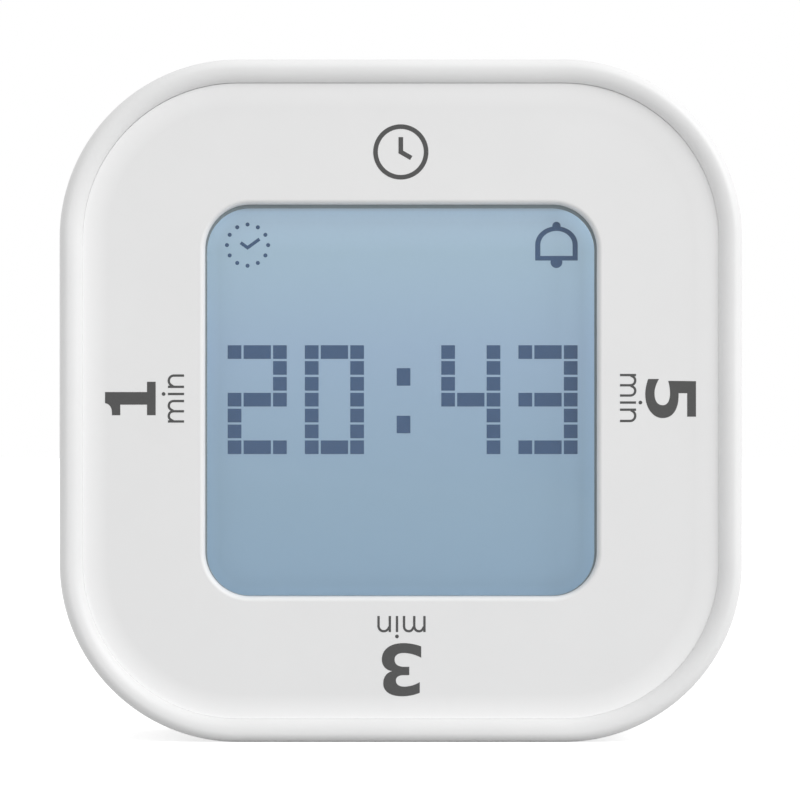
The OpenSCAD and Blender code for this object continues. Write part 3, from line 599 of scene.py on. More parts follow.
@dataclass(frozen=True)
class Striped(Finish):
    """A surface with even stripes across one axis, such as a ribbon or a contact strip."""

    dark: Colour
    pale: Colour
    pitch_mm: float
    rough: Plan
    ends: Plan = (0.4, 0.6)
    grain_mm: float = 0.3
    depth_mm: float = 0.02
    strength: float = 0.5

    def paint(self, shader: Shader) -> None:
        """Paints the stripes.

        Args:
            shader: The new material.
        """
        scale = WAVE_PERIOD / (self.pitch_mm * MM)
        wave = shader.add("ShaderNodeTexWave", shader.place(), Scale=scale).outputs["Fac"]
        colour = shader.ramp(wave, tuple(zip(self.ends, (self.dark, self.pale))))
        shader.coat(colour, shader.noise(self.grain_mm), self.rough, self.depth_mm, wave, self.strength)


@dataclass(frozen=True)
class BoardMask(Finish):
    """Solder mask over copper tracks."""

    mask: Colour
    track: Colour
    pitch_mm: float = 3.5
    track_w: float = 0.06
    patch: float = 0.9
    squash: float = 1.4
    squash_rows: int = 3
    grain_mm: float = 0.6
    rough: Plan = (0.28, 0.42)
    depth_mm: float = 0.03
    strength: float = 0.6

    def paint(self, shader: Shader) -> None:
        """Paints the mask with its raised tracks.

        Args:
            shader: The new material.
        """
        layout = {"squash": self.squash, "squash_frequency": self.squash_rows}
        colours = {
            "Color1": opaque(self.mask),
            "Color2": opaque(shade(self.mask, self.patch)),
            "Mortar": opaque(self.track),
        }
        tracks = shader.add("ShaderNodeTexBrick", shader.place(), settings=layout,
                            Scale=1 / (self.pitch_mm * MM), Mortar_Size=self.track_w, **colours).outputs
        grain = shader.noise(self.grain_mm, 3)
        shader.coat(tracks["Color"], grain, self.rough, self.depth_mm, tracks["Fac"], self.strength)


@dataclass(frozen=True)
class SleevePrint(Finish):
    """Printed cell sleeve: a dark jacket with a bright band at its button end and a thin line below."""

    jacket: Colour
    band: Colour
    line: Colour
    band_from: float = 0.76
    line_from: float = 0.72
    line_to: float = 0.735
    wear_mm: float = 0.8
    rough: Plan = (0.2, 0.32)
    depth_mm: float = 0.004
    metallic: float = 0.35

    def paint(self, shader: Shader) -> None:
        """Paints the bands by the share of length stored on the mesh.

        Args:
            shader: The new material.
        """
        stops = (
            (0, self.jacket),
            (self.line_from, self.line),
            (self.line_to, self.jacket),
            (self.band_from, self.band),
        )
        colour = shader.ramp(shader.stored("along"), stops, Change.SUDDEN)
        shader.coat(colour, shader.noise(self.wear_mm, 3), self.rough, self.depth_mm)
        shader.feed(shader.skin, "Metallic", self.metallic)


def mix_palette() -> Palette:
    """Builds the finishes that depend on no piece's measures.

    Returns:
        The materials by short name.
    """
    finishes = {
        "case": Moulded("case_plastic", grey(228), 0.4),
        # The panel's paler edge colour is painted light that lifts the shade along the rim.
        "panel": PaintedLightEdgePlastic("panel_plastic", grey(229), 0.55, grain_mm=0.12, grain_depth_mm=0.003,
                              clouding=0.008, painted_light_colour=grey(241)),
        "ink": Ink("print_ink", grey(70)),
        "segment": Ink("segment_dye", screen(44, 77, 114)),
        "clear": ClearSheet("window_plastic", (0.995, 0.998, 1.0)),
        # The seal's dark colour is painted shade for the gap round the window.
        "shade_seal": Moulded("seal_foam", screen(126, 137, 142), 0.7),
        "display_frame": Moulded("frame_plastic", grey(205), 0.5),
        "glass": ClearSheet("display_glass_sheet", (0.9, 0.95, 0.94)),
        "reflector": Metal("reflector_film", (0.8, 0.81, 0.82), 0.45, streak=(1, 1, 1)),
        "light_guide": Moulded("light_guide_plastic", screen(215, 226, 232), 0.25),
        "lamp": Moulded("lamp_resin", screen(240, 230, 170), 0.3),
        "elastomer": Striped("contact_elastomer", screen(50, 45, 48), screen(196, 110, 120), pitch_mm=0.18,
                             rough=(0.54, 0.66)),
        "board": BoardMask("board_mask", screen(24, 84, 50), screen(52, 120, 70)),
        "resin": Moulded("chip_resin", screen(22, 22, 24), 0.3),
        "chips": Moulded("chip_ceramic", screen(160, 132, 96), 0.5),
        "nickel": Metal("nickel_plate", (0.72, 0.7, 0.66), 0.28),
        "brass": Metal("brass_sheet", (0.78, 0.57, 0.24), 0.32, streak=(1, 1, 8)),
        "black_plastic": Moulded("black_plastic", screen(34, 34, 36), 0.45),
        "button": Moulded("button_plastic", screen(196, 198, 200), 0.42),
        "knob": Moulded("knob_plastic", screen(92, 94, 97), 0.45),
        "ceramic": Moulded("buzzer_ceramic_disc", screen(206, 203, 190), 0.6),
        "ribbon": Striped("ribbon_plastic", screen(150, 152, 155), screen(225, 226, 226), pitch_mm=1,
                          rough=(0.34, 0.46)),
        "can": Metal("can_steel", (0.74, 0.74, 0.73), 0.24, streak=(9, 1, 1)),
        "sleeve": SleevePrint("sleeve_print", jacket=screen(34, 40, 48), band=screen(176, 190, 200),
                              line=screen(120, 168, 196)),
        "red_lead": Moulded("red_sheath", screen(170, 30, 28), 0.4),
        "black_lead": Moulded("black_sheath", screen(28, 28, 30), 0.4),
    }
    return {key: finish.material() for key, finish in finishes.items()}


# Outlines


def rounded(half_w: float, half_h: float, radius: float, middle: Plan = (0, 0),
            arc_steps: int = 28) -> list[Plan]:
    """Draws a rounded rectangle against the clock.

    Args:
        half_w: Half its width.
        half_h: Half its height.
        radius: Corner radius.
        middle: Its middle.
        arc_steps: Steps round each corner.

    Returns:
        Points in plan.
    """
    arcs = []
    for quarter, (sx, sy) in enumerate(((1, 1), (-1, 1), (-1, -1), (1, -1))):
        x = middle[0] + sx * (half_w - radius)
        y = middle[1] + sy * (half_h - radius)
        angles = [math.radians(90 * (quarter + step / arc_steps)) for step in range(arc_steps + 1)]
        arcs.append([(x + radius * math.cos(a), y + radius * math.sin(a)) for a in angles])
    points: list[Plan] = []
    for arc, following in zip(arcs, arcs[1:] + arcs[:1]):
        (x0, y0), (x1, y1) = arc[-1], following[0]
        shares = [step / SIDE_STEPS for step in range(1, SIDE_STEPS)]
        points += arc + [(x0 + (x1 - x0) * share, y0 + (y1 - y0) * share) for share in shares]
    return points


def disc(x: float, y: float, radius: float, steps: int = 32) -> list[Plan]:
    """Draws a circle in plan."""
    angles = (2 * math.pi * step / steps for step in range(steps))
    return [(x + radius * math.cos(a), y + radius * math.sin(a)) for a in angles]


def trace(steps: Sequence[tuple[float, ...]], fine: int = 14) -> list[Plan]:
    """Follows lines and cubic curves.

    Args:
        steps: Pairs are line ends, sixes are two handles and an end.
        fine: Points along each curve.

    Returns:
        Points in plan.
    """
    points: list[Plan] = []
    for step in steps:
        if len(step) == 2:
            points.append(step)
            continue
        lines = [(begin, *step[axis::2]) for axis, begin in enumerate(points[-1])]
        for count in range(1, fine + 1):
            t = count / fine
            s = 1 - t
            weights = (s ** 3, 3 * s * s * t, 3 * s * t * t, t ** 3)
            points.append(tuple(sum(w * p for w, p in zip(weights, line)) for line in lines))
    return points


def ribbon(points: Outline, width: float) -> list[Plan]:
    """Widens an open line into a closed outline with mitred bends.

    Args:
        points: The line.
        width: Its width.

    Returns:
        The outline.
    """
    left: list[Plan] = []
    right: list[Plan] = []
    for index, point in enumerate(points):
        here = Vector(point)
        before = (here - Vector(points[index - 1])).normalized() if index else None
        after = (Vector(points[index + 1]) - here).normalized() if index + 1 < len(points) else None
        way = ((before or after) + (after or before)).normalized()
        reach = width / 2 / max(LEAST_MITRE, way.dot(after or before))
        side = Vector((-way.y, way.x)) * reach
        left.append(tuple(here + side))
        right.append(tuple(here - side))
    return left + right[::-1]


# Meshes


def skin(bm: BMesh, rows: Sequence[Sequence[BMVert]]) -> None:
    """Joins each row of points to the next by faces.

    Args:
        bm: The mesh that receives the faces.
        rows: Closed rows of equal count.
    """
    for one, two in zip(rows, rows[1:]):
        for index in range(len(one)):
            bm.faces.new((one[index - 1], one[index], two[index], two[index - 1]))


def loft(bm: BMesh, rings: Sequence[Sequence[Vector]], cycle: bool = False) -> None:
    """Skins rings of equal count, and closes the ends or joins the last ring to the first.

    Args:
        bm: The mesh that receives the faces.
        rings: Rings of places, in order.
        cycle: True where the last ring joins the first, False where the ends get lids.
    """
    rows = [[bm.verts.new(place) for place in ring] for ring in rings]
    skin(bm, rows + rows[:1] if cycle else rows)
    if not cycle:
        bm.faces.new(rows[0])
        bm.faces.new(rows[-1])


def lathe(bm: BMesh, section: Outline, place: Callable[[float, float, float], Vector], steps: int) -> None:
    """Turns a section round an axis; its first and last points lie on the axis.

    Args:
        bm: The mesh that receives the faces.
        section: Radius and travel along the axis, in millimetres.
        place: Turns across, up and along into a place.
        steps: Steps round the axis.
    """
    rows = []
    for radius, travel in section[1:-1]:
        rows.append([bm.verts.new(place(x, y, travel)) for x, y in disc(0, 0, radius, steps)])
    skin(bm, rows)
    for row, (_, travel) in ((rows[0], section[0]), (rows[-1], section[-1])):
        tip = bm.verts.new(place(0, 0, travel))
        for index in range(steps):
            bm.faces.new((tip, row[index - 1], row[index]))


def slab(bm: BMesh, face: Face, outline: Outline, front: float, back: float) -> None:
    """Makes a thin plate of an outline on the face.

    Args:
        bm: The mesh that receives the faces.
        face: The face it lies on.
        outline: Its outline in plan.
        front: Depth of its front behind the rim's crest.
        back: Depth of its back.
    """
    fronts, backs = ([bm.verts.new(place) for place in face.ring(outline, depth)] for depth in (front, back))
    lids = [bm.faces.new(fronts), bm.faces.new(backs[::-1])]
    for lid in lids:
        lid.normal_update()
    skin(bm, (backs, fronts))
    bmesh.ops.triangulate(bm, faces=lids, ngon_method="EAR_CLIP")


def hoop(bm: BMesh, face: Face, outer: Outline, inner: Outline, front: float, back: float) -> None:
    """Makes a flat hoop between two outlines of equal count on the face.

    Args:
        bm: The mesh that receives the faces.
        face: The face it lies on.
        outer: Its outer outline in plan.
        inner: Its inner outline.
        front: Depth of its front behind the rim's crest.
        back: Depth of its back.
    """
    levels = ((outer, front), (inner, front), (inner, back), (outer, back))
    loft(bm, [face.ring(outline, depth) for outline, depth in levels], cycle=True)


def to_mesh(name: str, bm: BMesh, outwards: bool = True) -> Mesh:
    """Turns a mesh in the making into a plain one, and frees it.

    Args:
        name: The mesh's name.
        bm: The mesh in the making.
        outwards: True where its faces are to be turned outwards.

    Returns:
        The plain mesh.
    """
    if outwards:
        bmesh.ops.recalc_face_normals(bm, faces=bm.faces[:])
    mesh = bpy.data.meshes.new(name)
    bm.to_mesh(mesh)
    bm.free()
    return mesh


def put(name: str, data: ID) -> Object:
    """Links a new object to the scene.

    Args:
        name: Its name.
        data: Its mesh, curve, lamp or camera.

    Returns:
        The object.
    """
    thing = bpy.data.objects.new(name, data)
    bpy.context.scene.collection.objects.link(thing)
    return thing


def evaluated(thing: Object) -> Mesh:
    """Gives a plain mesh of an object with its modifiers applied."""
    graph = bpy.context.evaluated_depsgraph_get()
    return bpy.data.meshes.new_from_object(thing.evaluated_get(graph))


def turned(name: str, section: Outline, steps: int = 40) -> Mesh:
    """Turns a section about a line that runs back from the origin.

    Args:
        name: The mesh's name.
        section: Radius and depth in millimetres.
        steps: Steps round the line.

    Returns:
        The turned mesh.
    """
    bm = bmesh.new()
    lathe(bm, section, lambda across, up, back: Vector((across, back, up)) * MM, steps)
    return to_mesh(name, bm)


def cloud(name: str, places: Iterable[Vector]) -> Mesh:
    """Makes a mesh of loose points, for a tree to start from.

    Args:
        name: The mesh's name.
        places: The points.

    Returns:
        The mesh.
    """
    points = bpy.data.meshes.new(name)
    points.from_pydata(list(places), [], [])
    return points


def spread(name: str, part: Mesh, places: Iterable[Vector], finish: Material) -> Mesh:
    """Sets one part on each of several places.

    Args:
        name: The tree's name.
        part: The part, drawn about the origin.
        places: Where its copies go.
        finish: Their material.

    Returns:
        All copies as one mesh.
    """
    helper = put(name + "_part", part)
    growth = Growth(name)
    start, source = growth.inputs(Places=None, Part=helper)
    info = growth.add("GeometryNodeObjectInfo", source)
    copies = growth.add("GeometryNodeInstanceOnPoints", start, Instance=info.outputs["Geometry"])
    mesh = growth.bake(copies, finish, cloud(name + "_places", places))
    bpy.data.objects.remove(helper)
    return mesh


def make_piece(name: str, shape: BMesh | Mesh, finish: Material, sharp: float = 35) -> Object:
    """Links a shape as an object with its finish and smooth shading.

    Args:
        name: The piece's name.
        shape: Its mesh, plain or in the making.
        finish: Its material.
        sharp: Edges bent more than these degrees stay sharp.

    Returns:
        The object.
    """
    mesh = to_mesh(name, shape) if isinstance(shape, BMesh) else shape
    mesh.materials.clear()
    mesh.materials.append(finish)
    mesh.polygons.foreach_set("use_smooth", [True] * len(mesh.polygons))
    mesh.set_sharp_from_angle(angle=math.radians(sharp))
    return put(name, mesh)


def store_share(piece: Object, name: str, rule: Callable[[Vector], float]) -> None:
    """Stores a share on each point of a piece, for its finish to read.

    Args:
        piece: The piece.
        name: The share's name.
        rule: Gives the share at a place.
    """
    shares = piece.data.attributes.new(name, "FLOAT", "POINT")
    for vertex in piece.data.vertices:
        shares.data[vertex.index].value = rule(vertex.co)


def settle(piece: Object, body: str = BODY, nodes: Iterable[str] = ()) -> None:
    """Gives a piece its body, hides the nodes it stands for, and reports it.

    Args:
        piece: The finished object.
        body: The body it moves with.
        nodes: The CAD nodes that it replaces.
    """
    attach(piece, body)
    if nodes:
        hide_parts(*nodes)
    LOG.info("%s: %d faces on %s", piece.name, len(piece.data.polygons), body)


# The timer's sub-assemblies


@dataclass
class Assembly:
    """A sub-assembly, with the face that it is measured on and the finishes that it takes."""

    face: Face
    palette: Palette

    def build(self) -> None:
        """Builds the sub-assembly's pieces and dresses its nodes."""
        raise NotImplementedError

    def dress(self, finish: str, *nodes: str) -> None:
        """Gives CAD nodes that stay their finish.

        Args:
            finish: The finish's name in the palette.
            nodes: The nodes.
        """
        for node in nodes:
            materials = frame["nodes"][node].data.materials
            materials.clear()
            materials.append(self.palette[finish])
            LOG.info("%s: dressed in %s", node, finish)


@dataclass
class FrontShell(Assembly):
    """Front case: a swept wall with a round rim, its front wall, and bosses and posts inside."""

    half: float = 31
    corner: float = 16.2
    wall: float = 2.14
    crest_in: float = 0.85
    crest_h: float = 1.05
    seam: float = 12
    seam_bevel: float = 0.25
    tongue: float = 1.4
    tongue_wall: float = 0.95
    plate_front: float = 2.65
    plate_back: float = 4.15
    plate_grip: float = 0.4
    opening: Plan = (21.8, 22.3)
    opening_r: float = 3
    boss_at: Plan = (22.93, 22.93)
    boss_r: float = 2.3
    boss_end: float = 18.4
    bore_r: float = 0.9
    bore_end: float = 11.9
    post_at: Plan = (24.55, 10)
    post_r: float = 2
    post_end: float = 7.6
    pilot_r: float = 0.76
    pilot_end: float = 3.75
    root: float = 0.5
    soft: float = 0.2
    rim_steps: int = 28
    corner_steps: int = 48

    def section(self) -> list[Plan]:
        """Draws the wall's section.

        Returns:
            Distance out from the outside, and depth, point by point.
        """
        points = [(-self.seam_bevel, self.seam), (0, self.seam - self.seam_bevel)]
        for step in range(self.rim_steps + 1):
            angle = math.pi * step / self.rim_steps
            reach = self.crest_in if 2 * step < self.rim_steps else self.wall - self.crest_in
            points.append((reach * math.cos(angle) - self.crest_in, self.crest_h * (1 - math.sin(angle))))
        end = self.seam + self.tongue
        ledge = self.tongue_wall - self.wall
        return points + [(-self.wall, end), (ledge, end), (ledge, self.seam)]

    def inside(self, depth: float) -> float:
        """Gives half the width between the rim's inner sides at a depth behind its crest."""
        fall = max(0.0, 1 - depth / self.crest_h)
        return self.half - self.crest_in - (self.wall - self.crest_in) * math.sqrt(1 - fall * fall)

    def section_curve(self) -> Object:
        """Draws the wall's section as a closed curve in metres.

        Returns:
            A helper object, removed once the sweep is baked.
        """
        curve = bpy.data.curves.new("wall_section", "CURVE")
        curve.dimensions = "3D"
        section = self.section()
        spline = curve.splines.new("POLY")
        spline.points.add(len(section) - 1)
        for point, (x, y) in zip(spline.points, section):
            point.co = (x * MM, y * MM, 0, 1)
        spline.use_cyclic_u = True
        return put("wall_section", curve)

    def sweep(self) -> Mesh:
        """Sweeps the wall's section round the square.

        Returns:
            The wall, drawn flat.
        """
        helper = self.section_curve()
        growth = Growth("rim_sweep")
        side, corner, steps, source = growth.inputs(
            Side=2 * self.half * MM, Corner_Radius=self.corner * MM, Corner_Steps=self.corner_steps,
            Section=helper)
        square = growth.add("GeometryNodeCurvePrimitiveQuadrilateral", Width=side, Height=side)
        path = growth.add("GeometryNodeFilletCurve", square, settings={"mode": "POLY"}, Count=steps,
                          Radius=corner)
        section = growth.add("GeometryNodeObjectInfo", source).outputs["Geometry"]
        swept = growth.add("GeometryNodeCurveToMesh", path, section)
        mesh = growth.bake(swept, self.palette["case"])
        bpy.data.objects.remove(helper)
        return mesh

    def hollow(self, radius: float, end: float, bore: float, bore_end: float) -> list[Plan]:
        """Draws the section of a hollow boss behind the front wall.

        Args:
            radius: Its outer radius.
            end: Depth of its open end.
            bore: Radius of its bore.
            bore_end: Depth of the bore's foot.

        Returns:
            Radius and depth.
        """
        start = self.plate_back - self.root
        edge = end - self.soft
        return [(0, start), (radius, start), (radius, edge), (radius - self.soft, end),
                (bore + self.soft, end), (bore, edge), (bore, bore_end), (0, bore_end)]

    def build(self) -> None:
        """Builds the front case and lets it stand for its node."""
        finish = self.palette["case"]
        wall = self.sweep()
        wall.transform(self.face.stand())
        bm = bmesh.new()
        bm.from_mesh(wall)
        inset = self.wall - self.plate_grip
        outer = rounded(self.half - inset, self.half - inset, self.corner - inset)
        inner = rounded(*self.opening, self.opening_r)
        hoop(bm, self.face, outer, inner, self.plate_front, self.plate_back)
        bosses = self.hollow(self.boss_r, self.boss_end, self.bore_r, self.bore_end)
        posts = self.hollow(self.post_r, self.post_end, self.pilot_r, self.pilot_end)
        kinds = (("case_bosses", self.boss_at, bosses), ("board_posts", self.post_at, posts))
        for name, (x, y), section in kinds:
            places = [self.face.at(sx * x, sy * y, 0) for sx, sy in CORNERS]
            bm.from_mesh(spread(name, turned(name, section), places, finish))
        settle(make_piece("front_shell", bm, finish, sharp=40), BODY, ["front_case"])


@dataclass
class FacePanel(Assembly):
    """Inlaid panel: flat, coved up at its edge to meet the rim, with a square window in a round lip."""

    shell: FrontShell
    half: float = 28.83
    fit: float = 0.006
    drop: float = 0.015
    flat: float = 1.05
    thick: float = 1.6
    cove_w: float = 2.2
    cove_r: float = 25
    root_w: float = 0.17
    tip: float = 0.93
    window: float = 17.8
    window_r: float = 4.05
    window_at: Plan = (0.02, 0.03)
    bevel: float = 0.45
    bevel_h: float = 0.8
    peg_at: float = 25.6
    peg_r: float = 0.9
    peg_end: float = 4.05
    peg_root: float = 0.3
    peg_soft: float = 0.15
    flat_margin: float = 0.05
    cove_rows: int = 8
    root_rows: int = 6
    lip_rows: int = 7
    peg_steps: int = 32

    @property
    def corner(self) -> float:
        """Radius of the panel's corners."""
        return self.shell.corner - self.shell.half + self.half

    def cove(self) -> list[Plan]:
        """Follows the cove outwards, then the fillet at the rim's foot and the rim's side down.

        Returns:
            Distance in from the panel's side and depth, row by row.
        """
        gentle = self.cove_w - self.root_w
        rows = []
        for row in range(self.cove_rows + 1):
            along = gentle * row / self.cove_rows
            rows.append((self.cove_w - along, self.flat - along ** 2 / (2 * self.cove_r)))
        foot = rows[-1][1]
        slope = gentle / self.cove_r
        tight = self.root_w + self.shell.inside(self.tip) - self.fit - self.half
        bend = (foot - self.tip - slope * tight) / tight ** 2
        for row in range(1, self.root_rows + 1):
            along = tight * row / self.root_rows
            rows.append((self.root_w - along, foot - slope * along - bend * along ** 2))
        for row in range(1, self.root_rows + 1):
            depth = self.tip + (self.shell.crest_h - self.tip) * row / self.root_rows
            rows.append((self.half - self.shell.inside(depth) + self.fit, depth))
        return rows

    def lip(self) -> list[Plan]:
        """Follows the round lip of the window outwards.

        Returns:
            Distance out from the window's wall and depth, row by row.
        """
        rows = []
        for row in range(self.lip_rows + 1):
            angle = math.pi / 2 * row / self.lip_rows
            depth = self.flat + self.bevel_h * (1 - math.sin(angle))
            rows.append((self.bevel * (1 - math.cos(angle)), depth))
        return rows

    def painted_light_share(self, place: Vector) -> float:
        """Gives how near a place is to the panel's outer edge, which sets the painted light there.

        Args:
            place: The place in the frame.

        Returns:
            1 at the edge, falling to 0 at the foot of the cove.
        """
        x = max(0.0, abs(place.x) / MM - self.half + self.corner)
        y = max(0.0, abs(place.z - self.face.middle_z) / MM - self.half + self.corner)
        inward = self.corner - math.hypot(x, y)
        return min(1.0, max(0.0, 1 - inward / self.cove_w))

    def peg(self) -> Mesh:
        """Turns one of the pegs that hold the panel.

        Returns:
            The peg, about the origin.
        """
        start = self.flat + self.thick - self.peg_root
        inner = self.peg_r - self.peg_soft
        section = [(0, start), (self.peg_r, start), (self.peg_r, self.peg_end - self.peg_soft),
                   (inner, self.peg_end), (0, self.peg_end)]
        return turned("peg", section, self.peg_steps)

    def build(self) -> None:
        """Builds the panel and its pegs."""
        back = self.flat + self.thick
        rings = []
        for out, depth in [(0, back), *self.lip(), (self.bevel + self.flat_margin, self.flat)]:
            half = self.window + out
            rings.append(self.face.ring(rounded(half, half, self.window_r + out, self.window_at), depth))
        for inward, depth in [(self.cove_w + self.flat_margin, self.flat), *self.cove(), (0, back)]:
            half = self.half - inward
            outline = rounded(half, half - self.drop, self.corner - inward, (0, -self.drop))
            rings.append(self.face.ring(outline, depth))
        bm = bmesh.new()
        loft(bm, rings, cycle=True)
        finish = self.palette["panel"]
        places = [self.face.at(x * self.peg_at, y * self.peg_at, 0) for x, y in SIDES]
        bm.from_mesh(spread("panel_pegs", self.peg(), places, finish))
        piece = make_piece("panel", bm, finish, sharp=25)
        # The edge share sets the painted light that lifts the panel's shade along the rim.
        store_share(piece, "edge", self.painted_light_share)
        settle(piece, BODY, ["face_panel"])


@dataclass(frozen=True)
class Sign:
    """A printed sign: outlines in its own measure, with its middle and its turn on the face."""

    outlines: Sequence[Outline]
    own_middle: Plan
    middle: Plan
    turn: Turn

    def placed(self) -> list[list[Plan]]:
        """Turns the outlines and moves them to their place on the face.

        Returns:
            The placed outlines.
        """
        angle = math.radians(self.turn.value)
        cos, sin = math.cos(angle), math.sin(angle)
        (ox, oy), (mx, my) = self.own_middle, self.middle
        placed = []
        for outline in self.outlines:
            own = [(x - ox, y - oy) for x, y in outline]
            placed.append([(mx + x * cos - y * sin, my + x * sin + y * cos) for x, y in own])
        return placed


@dataclass
class PanelPrints(Assembly):
    """Numerals with the word min on three sides, and a plain clock sign on the fourth."""

    panel: FacePanel
    ink_thick: float = 0.012
    ink_step: float = 0.0005
    ink_sink: float = 0.004
    stem: float = 0.213
    x_height: float = 1.49
    stem_top: float = 1.46
    stems: Sequence[float] = (0.123, 2.619, 3.269)
    arches: Outline = ((0.123, 1.05), (1.05, 1.979), (3.269, 4.293))
    dot_up: float = 1.856
    dot_r: float = 0.17
    word_middle: Plan = (2.208, 1.013)
    clock_at: Plan = (0, 22.6)
    clock_r: float = 2.3
    clock_stroke: float = 0.42
    clock_steps: int = 72
    clock_hands: Outline = ((0, 1.35), (0, 0), (0.95, -0.55))

    def numeral_one(self) -> list[Plan]:
        """Draws the 1 with its slab foot and flag."""
        return trace((
            (0, 0), (3.04, 0), (3.04, 0.784), (2.107, 0.784), (2.107, 4.603), (1.093, 4.603),
            (1.04, 4.20, 0.72, 3.973, 0.2, 3.973), (0, 3.973), (0, 3.216), (0.96, 3.216), (0.96, 0.784),
            (0, 0.784),
        ))

    def numeral_three(self) -> list[Plan]:
        """Draws the 3."""
        return trace((
            (0.011, 0.253), (0.55, 0.05, 1.10, -0.045, 1.63, -0.045),
            (2.85, -0.045, 3.588, 0.55, 3.588, 1.42), (3.588, 2.05, 3.20, 2.42, 2.643, 2.503),
            (3.16, 2.62, 3.462, 3.05, 3.462, 3.62),
            (3.462, 4.40, 2.75, 4.79, 1.75, 4.79), (1.15, 4.79, 0.60, 4.66, 0.141, 4.471), (0.141, 3.504),
            (0.60, 3.76, 1.05, 3.91, 1.55, 3.91), (2.03, 3.91, 2.31, 3.70, 2.31, 3.36),
            (2.31, 3.02, 2.03, 2.868, 1.60, 2.868), (1.097, 2.868), (1.097, 2.109), (1.55, 2.109),
            (2.10, 2.109, 2.43, 1.88, 2.43, 1.46), (2.43, 1.06, 2.10, 0.855, 1.62, 0.855),
            (1.05, 0.855, 0.50, 1.02, 0.011, 1.282),
        ))

    def numeral_five(self) -> list[Plan]:
        """Draws the 5."""
        return trace((
            (0.213, 4.587), (0.187, 2.053), (0.5, 2.16, 0.90, 2.23, 1.30, 2.23),
            (1.95, 2.23, 2.40, 2.02, 2.40, 1.58), (2.40, 1.08, 2.0, 0.82, 1.30, 0.82),
            (0.90, 0.82, 0.45, 0.97, 0.016, 1.227), (0.016, 0.24),
            (0.45, 0.08, 0.95, -0.02, 1.40, -0.02), (2.75, -0.02, 3.573, 0.75, 3.573, 1.55),
            (3.573, 2.5, 2.75, 3.06, 1.307, 3.003), (1.307, 3.787), (3.44, 3.787), (3.44, 4.587),
        ))

    def arch(self, left: float, right: float) -> list[Plan]:
        """Draws the arch of an m or an n with the leg that it runs into.

        Args:
            left: Middle of the stem that it springs from.
            right: Middle of its leg.

        Returns:
            The outline of its stroke.
        """
        top = self.x_height - self.stem / 2
        middle = (left + right) / 2 + 0.02
        line = trace((
            (left + 0.05, 0.98), (left + 0.14, 1.24, middle - 0.2, top, middle, top),
            (middle + 0.28, top, right, 1.2, right, 0.9), (right, 0),
        ))
        return ribbon(line, self.stem)

    def word_min(self) -> list[list[Plan]]:
        """Draws the word min in thin strokes.

        Returns:
            Its stems, arches and dot.
        """
        parts = [ribbon([(x, 0), (x, self.stem_top)], self.stem) for x in self.stems]
        parts += [self.arch(left, right) for left, right in self.arches]
        return parts + [disc(self.stems[1], self.dot_up, self.dot_r)]

    def clock_sign(self) -> list[list[Plan]]:
        """Draws a ring with two hands."""
        ring = disc(0, 0, self.clock_r, self.clock_steps)
        return [ribbon(line, self.clock_stroke) for line in (ring + ring[:1], self.clock_hands)]

    def signs(self) -> dict[str, Sign]:
        """Lists the signs by name.

        Returns:
            Each numeral, its word and the clock sign.
        """
        sides = (
            ("one", self.numeral_one(), (1.52, 2.30), (-24.572, 0.2), (-20.707, 0.2), Turn.LEFT),
            ("three", self.numeral_three(), (1.80, 2.37), (0.063, -24.435), (0.063, -20.57), Turn.DOWN),
            ("five", self.numeral_five(), (1.79, 2.285), (24.513, 0.2), (20.923, 0.245), Turn.RIGHT),
        )
        found = {}
        for name, numeral, own_middle, middle, word_middle, turn in sides:
            found[f"print_{name}"] = Sign([numeral], own_middle, middle, turn)
            found[f"print_{name}_min"] = Sign(self.word_min(), self.word_middle, word_middle, turn)
        found["print_clock"] = Sign(self.clock_sign(), (0, 0), self.clock_at, Turn.UP)
        return found

    def build(self) -> None:
        """Prints every sign on the panel; each stroke lies a hair prouder than the one before."""
        for name, sign in self.signs().items():
            bm = bmesh.new()
            for count, outline in enumerate(sign.placed()):
                front = self.panel.flat - self.ink_thick - self.ink_step * count
                slab(bm, self.face, outline, front, self.panel.flat + self.ink_sink)
            settle(make_piece(name, bm, self.palette["ink"], sharp=40))


@dataclass
class Window(Assembly):
    """Clear window: a plug with a softened front edge on a wider flange, set in the panel with a dark ring in
    its gap whose colour stands in for the gap's shade.
    """

    panel: FacePanel
    plug: float = 17.62
    plug_r: float = 3.87
    plug_at: Plan = (-0.01, -0.11)
    flange_w: float = 1.28
    front: float = 1.5
    shoulder: float = 2.65
    back: float = 3.45
    edge: float = 0.12
    edge_soft: float = 0.0348
    seal_fit: float = 0.005
    seal_front: float = 1.9
    seal_gap: float = 0.02
    arc_steps: int = 20

    def shade_seal(self) -> None:
        """Fills the gap between the panel and the window with a dark ring, painted shade for the gap."""
        out = self.panel.window - self.seal_fit
        outer = rounded(out, out, self.panel.window_r, self.panel.window_at)
        inside = self.plug + self.seal_fit
        inner = rounded(inside, inside, self.plug_r, self.plug_at)
        bm = bmesh.new()
        # The dark ring is painted shade in the gap round the window.
        hoop(bm, self.face, outer, inner, self.seal_front, self.shoulder - self.seal_gap)
        settle(make_piece("window_seal", bm, self.palette["shade_seal"]))

    def build(self) -> None:
        """Builds the window and its seal."""
        self.shade_seal()
        levels = (
            (-self.edge, self.front),
            (-self.edge_soft, self.front + self.edge_soft),
            (0, self.front + self.edge),
            (0, self.shoulder),
            (self.flange_w, self.shoulder),
            (self.flange_w, self.back),
        )
        rings = []
        for out, depth in levels:
            half = self.plug + out
            outline = rounded(half, half, self.plug_r + out, self.plug_at, self.arc_steps)
            rings.append(self.face.ring(outline, depth))
        bm = bmesh.new()
        loft(bm, rings)
        settle(make_piece("window", bm, self.palette["clear"], sharp=30), BODY, ["display_window"])


